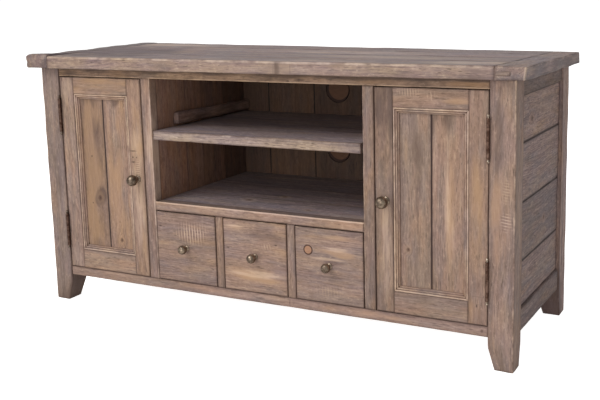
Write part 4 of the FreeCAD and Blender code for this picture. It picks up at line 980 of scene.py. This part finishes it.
# %% Stiles, rails and panels
DOOR_Y, DOOR_Z = (-217.6, -195.6), (102.3, 639.7)
DOOR_X, PANEL_X = (338.4, 613.4), (384, 567)  # from the middle: the door, then the opening of its frame
PANEL_Z, PANEL_Y = (155, 594), (-207.6, -199)
PANEL_JOINT, PANEL_REACH = 475.5, 2  # mm that a panel runs into its grooves
door_marks = {
    "left_hinge_stile": dict(tone=(-0.6, 0.03), stains="250 -600 120 8 -0.4",
                             lights="150 -590 60 24 0.3, 600 -590 60 20 0.5"),
    "left_knob_stile": dict(
        saws="396 -358 40 13 1.8 5.4", tone=(0.1, 0.01),
        lights="310 -361 130 22 0.9, 480 -362 50 22 0.5",
        stains="540 -362 60 26 0.4, 240 -350 90 20 0.6, 455 -350 16 12 0.8",
        dents="447 -372 2.4 15 -1, 430 -374 3 4 -1, 430 -362 3 3 -1, 417 -373 3 8 -1"),
    "left_top_rail": dict(stains="-500 618 80 24 0.8, -410 625 50 12 0.5", tone=(0.2, -0.01)),
    "left_bottom_rail": dict(stains="-500 112 60 6 -0.6, -440 140 60 8 -0.4", tone=(-0.5, 0.0)),
    "left_outer_board": dict(
        dents="422 -524 4 4 -0.9, 290 -530 3 3 -0.9", knots="306 -504 6.5", tone=(0.8, -0.1),
        stains="470 -526 110 14 2, 370 -516 60 20 2, 560 -500 50 20 0.8, 316 -497 20 13 -1.8, "
               "300 -510 14 10 -1.4, 470 -498 110 10 -0.6, 430 -530 130 16 0.8, 220 -525 50 26 0.6, "
               "240 -540 60 20 0.5, 480 -535 70 16 0.9, 450 -553 110 7 -0.8, 500 -512 90 6 -0.6, "
               "575 -520 20 40 -0.6, 180 -520 20 40 -0.4"),
    "left_inner_board": dict(
        dents="243 -440 3 2 -0.9", knots="192 -436 5", tone=(0.3, -0.02),
        stains="370 -440 130 30 1, 520 -428 40 16 0.4, 575 -455 16 30 -0.3, 574 -432 12 8 -1.2, "
               "586 -420 10 30 -0.7, 185 -425 16 30 -0.7"),
    "right_hinge_stile": dict(
        dents="147 588 6 2.4 -1, 169 590 0.8 24 -0.5", tone=(0.1, -0.03),
        stains="140 590 28 30 0.6, 400 584 150 16 0.8, 560 600 40 10 -0.4"),
    "right_knob_stile": dict(
        stains="500 361 90 26 -0.6, 600 361 60 34 -1.1, 250 352 110 14 0.4",
        lights="250 366 120 18 0.7, 330 366 40 14 0.4", tone=(-0.3, -0.06)),
    "right_top_rail": dict(
        saws="426 631 36 13 1 6.6, 478 624 14 14 0.8 9", tone=(-0.1, -0.06),
        stains="540 612 40 8 0.7, 410 604 40 8 -0.5"),
    "right_bottom_rail": dict(stains="440 150 60 6 -0.5, 520 120 60 10 -0.3", tone=(-0.9, -0.01)),
    "right_outer_board": dict(
        tone=(-0.2, 0.0), lights="390 514 140 9 0.7, 300 528 60 10 0.5",
        stains="380 520 160 12 0.9, 570 496 50 22 -0.8, 440 486 60 7 -0.5, 190 500 30 40 -0.4, "
               "575 520 30 40 -0.4, 480 555 70 8 -0.5"),
    "right_inner_board": dict(
        knots="258 417 4", tone=(-0.8, -0.06),
        stains="500 412 60 6 0.5, 350 440 120 10 -0.5, 500 440 90 20 -0.5"),
}
STILE = dict(face="y", ease=1.4, grime=0.6, dirt=0.22)
RAIL = dict(face="y", ease=1.2, dirt=0.18)
PANEL = dict(face="y", ease=0.8, soft={"+x-y": 1.7, "-x-y": 1.7}, grime=1.0, dirt=0.8)
panel_z = (PANEL_Z[0] - PANEL_REACH, PANEL_Z[1] + PANEL_REACH)
inner_x, outer_x = between((PANEL_X[0] - PANEL_REACH, PANEL_JOINT, PANEL_X[1] + PANEL_REACH))
door_boards = (  # ending of the node, ending of the marks, x, y, z, grain, seed, wear
    ("_hinge_stile", "_hinge_stile", (PANEL_X[1], DOOR_X[1]), DOOR_Y, DOOR_Z, "z", 151, STILE),
    ("_knob_stile", "_knob_stile", (DOOR_X[0], PANEL_X[0]), DOOR_Y, DOOR_Z, "z", 154, STILE),
    ("_rails", "_top_rail", PANEL_X, DOOR_Y, (PANEL_Z[1], DOOR_Z[1]), "x", 157, RAIL),
    ("_rails", "_bottom_rail", PANEL_X, DOOR_Y, (DOOR_Z[0], PANEL_Z[0]), "x", 177, RAIL),
    ("_panel", "_outer_board", outer_x, PANEL_Y, panel_z, "z", 161, PANEL),
    ("_panel", "_inner_board", inner_x, PANEL_Y, panel_z, "z", 162, PANEL),
)
for side, word, out, inn in SIDES:
    for ending, group in itertools.groupby(door_boards, key=lambda row: row[0]):
        boards = [worn_board(span(side, *x), y, z, along, seed + side, **wear, **door_marks[word + marks])
                  for _, marks, x, y, z, along, seed, wear in group]
        piece("door_" + word + ending, boards, "door_" + word, "door_wood")
print("door pieces:", [n for n in made_pieces if "door" in n])

# %% [markdown]
# Four mitred lengths of ribbed moulding cover the joint between frame and
# panel. A moulding is a profile carried along a path, so each length is worked
# out on a grid: one parameter runs along it, the other across the profile.

# %% Ribbed moulding
MOULDING = np.array([  # across the moulding mm, depth below the door's face mm, rubbed share, dirty share
    (0.0, 9.0, 0.2, 0.75), (0.0, 2.2, 0.7, 0.1), (1.2, 1.0, 1, 0), (3.2, 1.0, 1, 0), (4.3, 2.2, 0.5, 0.1),
    (4.9, 4.4, 0, 0.8), (5.6, 4.4, 0, 0.8), (6.2, 2.9, 0.6, 0.1), (7.4, 2.3, 0.8, 0), (8.8, 2.7, 0.5, 0.1),
    (9.6, 4.2, 0, 0.6), (10.2, 6.2, 0, 0.85), (11.0, 6.2, 0.1, 0.5), (12.2, 5.6, 0.4, 0),
    (13.2, 6.4, 0.4, 0.1), (13.8, 8.4, 0, 0.7), (14.0, 9.9, 0, 0.8)])
MOULDING_BACK, MOULDING_STEP = 9.95, 9
MOULDING_WEAR, MOULDING_WAVE = 0.22, 25  # mm that the outer ribs wander, and over which length
UNWORN_DEPTH, WEAR_OVER = 9.0, 4  # mm: from which depth nothing is worn, and how much higher all is
RUBBED, DIRTY = 0.75, 0.72


def moulding_length(start, end, inward, seed):
    """Place = start point of that rib plus s times the way to its end point. A rib that lies w further in
    starts w later and ends w earlier, which makes the mitre."""
    along = (end - start) / np.linalg.norm(end - start)
    w, d, rib, quirk = MOULDING.T
    count = math.ceil(np.linalg.norm(end - start) / MOULDING_STEP) + 1
    s = np.linspace(0, 1, count)[:, None, None]
    first = start + (inward + along)[None, :] * w[:, None] + np.outer(d, [0, 1, 0])
    last = end + (inward - along)[None, :] * w[:, None] + np.outer(d, [0, 1, 0])
    top = first[None] + s * (last - first)[None]
    worn = np.clip(UNWORN_DEPTH - d, 0, WEAR_OVER) / WEAR_OVER
    wavy = ripple(top.reshape(-1, 3), MOULDING_WAVE, seed).reshape(top.shape[:2])
    top[..., 1] += MOULDING_WEAR * worn[None] * wavy
    base = top.copy()
    base[..., 1] = start[1] + MOULDING_BACK
    upper = np.arange(count * len(w)).reshape(count, len(w))
    lower = upper + count * len(w)
    quads = [(upper[:-1, :-1], upper[1:, :-1], upper[1:, 1:], upper[:-1, 1:]),
             (lower[:-1, :-1], lower[:-1, 1:], lower[1:, 1:], lower[1:, :-1])]
    for rim, turned_over in ((np.s_[:, 0], False), (np.s_[:, -1], True), (0, True), (-1, False)):
        a, b = upper[rim], lower[rim]
        quads.append((a[:-1], a[1:], b[1:], b[:-1]) if turned_over else (a[:-1], b[:-1], b[1:], a[1:]))
    faces = np.concatenate([np.stack([corner.ravel() for corner in quad], 1) for quad in quads])
    places = np.concatenate([top.reshape(-1, 3), base.reshape(-1, 3)])
    away = places - (start + end) / 2
    own = np.stack([away @ along, away @ inward, places[:, 1] - start[1]], 1) / 1000
    shift = np.random.default_rng(seed).uniform(-GRAIN_SHIFT, GRAIN_SHIFT, 3)
    none = np.zeros((len(places), 3))
    far = np.tile([FAR, FAR, 0.0], (faces.size, 1))
    return {"places": places, "faces": faces, "grain": own + shift,
            "pith": own[:, [1, 2, 0]] * [1, 1, 0] + [0.01, 0.04, 0], "tone": none, "stain": none,
            "arris": np.tile(np.stack([rib * RUBBED, quirk * DIRTY, 0 * rib], 1), (2 * count, 1)),
            "knot": far, "saw": far, "teeth": far, "dent": far}


WAYS = np.array([(0, 0, 1), (-1, 0, 0), (0, 0, -1), (1, 0, 0)], float)
for side, word, out, inn in SIDES:
    (x0, x1), (z0, z1) = span(side, *PANEL_X), PANEL_Z
    corners = np.array([(x, DOOR_Y[0], z) for x, z in ((x0, z0), (x1, z0), (x1, z1), (x0, z1))], float)
    lengths = [moulding_length(corners[i], corners[(i + 1) % 4], WAYS[i], 171 + 10 * side + i)
               for i in range(4)]
    door = "door_" + word
    piece(door + "_moulding", lengths, door, "moulding_wood", name="ribbed_moulding_" + word)

# %% [markdown]
# ## The drawers
#
# A drawer front is one board with its grain lengthwise. Behind it the plain box
# of the CAD model stays and gets the inside pine.

# %% Drawer fronts
DRAWER_Y, DRAWER_Z = (-217.6, -197.6), (102.3, 288.4)
DRAWER_X, DRAWER_W, DRAWER_PITCH = -305.6, 185.8, 212  # first front's left, width, pitch
drawer_marks = [
    dict(dents="-294 250 9 3 -1, -130 147 5 2 -0.8, -150 108 30 1.2 -0.6",
         saws="-192 238 62 34 1.9 8.6", tone=(0.0, -0.01),
         stains="-200 180 90 24 -0.3, -180 276 70 8 0.5"),
    dict(dents="-81 213 7 2.6 -1, 62 233 6 2.6 -1, 66 268 4 2 -0.6",
         saws="34 226 24 9 0.9 8", tone=(0.0, -0.02),
         stains="-10 156 80 10 1.4, 20 138 70 8 1.1, -60 268 30 8 0.8, 20 262 80 20 -0.6, "
                "60 240 40 14 -0.4, 50 176 50 8 -0.4, -50 190 40 6 -0.4",
         lights="5 150 70 8 1.6, -60 270 30 6 0.9"),
    dict(saws="210 132 60 20 0.35 8", tone=(-0.6, 0.0),
         stains="215 238 44 9 1.5, 255 228 30 9 1.2, 245 269 44 6 0.9, 160 262 40 10 0.6, "
                "250 254 50 6 -0.8, 215 206 50 6 -0.6",
         lights="205 213 45 3 1.6, 240 240 40 5 1.4, 230 270 50 5 0.6"),
]
for n, marks in enumerate(drawer_marks):
    name = "drawer_%d" % (n + 1)
    x = DRAWER_X + n * DRAWER_PITCH
    front = worn_board((x, x + DRAWER_W), DRAWER_Y, DRAWER_Z, "x", 181 + n, face="y", ease=1.6, grime=0.4,
                       dirt=0.35, pale={"-y+z": 0.35}, **marks)
    piece(name + "_front", [front], name, "drawer_wood")

# %% [markdown]
# ## Knobs
#
# A knob is turned on a lathe, and so is its mesh: a profile of radius against
# distance from the wood, carried round its axis. Its ball sits on a narrow
# waist, and the neck flares into a rose.

# %% Turned knobs
BOLT_R, BALL_OUT = 3.0, 1.65  # mm, and the ball's middle off the wood in radii
WAIST_OUT, BALL_FROM = 0.65, 0.9  # the waist's length in radii, and the share of it where the ball begins
ROSE = ((0.66, 0.0), (0.68, 0.8), (0.62, 1.7), (0.5, 2.3))  # radius in ball radii, stand-off in mm
WAIST = ((0.4, 0.5), (0.35, 0.8))  # radius in ball radii, stand-off as a share of the waist's


def turned(profile, x, y, z, steps=48):
    """The profile, rows of radius and stand-off, carried round an axis through (x, y, z) that points to
    the front: x + r cos(angle), y - stand-off, z + r sin(angle). A point in the middle closes each end."""
    around = np.linspace(0, 2 * math.pi, steps, endpoint=False)
    r, d = np.array(profile, float).T
    rings = np.stack([x + r[:, None] * np.cos(around), y - d[:, None] + 0 * around,
                      z + r[:, None] * np.sin(around)], 2).reshape(-1, 3)
    tip = len(rings)
    number = np.arange(tip).reshape(len(r), steps)
    following = np.roll(number, -1, axis=1)
    faces = np.stack([number[:-1], following[:-1], following[1:], number[1:]], 2).reshape(-1, 4).tolist()
    faces += [[int(a), int(b), tip] for a, b in zip(number[-1], following[-1])]
    faces += [[int(b), int(a), tip + 1] for a, b in zip(number[0], following[0])]
    return {"places": np.concatenate([rings, [[x, y - d[-1], z], [x, y - d[0], z]]]), "faces": faces}


def knob_profile(radius, through):
    """From the bolt inside the wood to the tip: a stepped rose, a waist, and a ball of radius sin(angle)
    and stand-off minus radius cos(angle)."""
    angle = np.radians(np.linspace(22, 179, 24))
    ball = np.stack([radius * np.sin(angle), BALL_OUT * radius - radius * np.cos(angle)], 1)
    waist = WAIST_OUT * radius
    foot = [(BOLT_R, -through), (BOLT_R, 0.0)] + [(share * radius, d) for share, d in ROSE]
    foot += [(share * radius, high * waist) for share, high in WAIST]
    return foot + [(r, d) for r, d in ball.tolist() if d > BALL_FROM * waist]


KNOBS = {  # body: radius, x, z and depth of the bolt in the wood
    "door_left": (15, -361, 371.5, 22), "door_right": (15, 364.6, 373.4, 22),
    "drawer_1": (12, -212, 196, 20), "drawer_2": (12, 0, 196, 20), "drawer_3": (12, 212, 196, 20)}
for body, (radius, x, z, through) in KNOBS.items():
    knob = turned(knob_profile(radius, through), x, DOOR_Y[0], z)
    piece(body + "_knob", [knob], body, "bronze", name="turned_knob_" + body)
plug_profile = [(PLUG_R, -3.0), (PLUG_R, 0.05), (PLUG_R - 0.4, 0.35), (PLUG_R - 1.6, 0.4), (0.5, 0.4)]
plug = turned(plug_profile, PLUG_X, DRAWER_Y[0], PLUG_Z)
piece(None, [plug], "drawer_3", "knot_plug", "knot_plug_drawer_3")

# %% [markdown]
# ## What stays from the CAD model
#
# Parts whose shape is already right keep their CAD mesh and get a better
# material: back boards, cleats, guides, drawer boxes, hinge leaves and pins,
# screws and cable plugs.

# %% Materials for the carried-over nodes
FINISH_OF = {name: name for name in ("back_boards", "cable_plug_upper", "cable_plug_lower")}
FINISH_OF["hinge_pins"] = "finial_bronze"
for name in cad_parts:
    if name.endswith("hinge_leaves"):
        FINISH_OF[name] = "hinge_bronze"
    elif name.endswith(("_box", "_bottom", "_cleats", "_guides")):
        FINISH_OF[name] = "inside_along_y"
for name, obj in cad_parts.items():
    for material_slot in obj.material_slots:
        plain = material_slot.material.name.split(".")[0] if material_slot.material else ""
        metal = plain if plain in ("bronze", "steel") else "inside_along_x"
        material_slot.material = FINISH[FINISH_OF.get(name, metal)]
print("polygons made:", sum(made_pieces.values()))
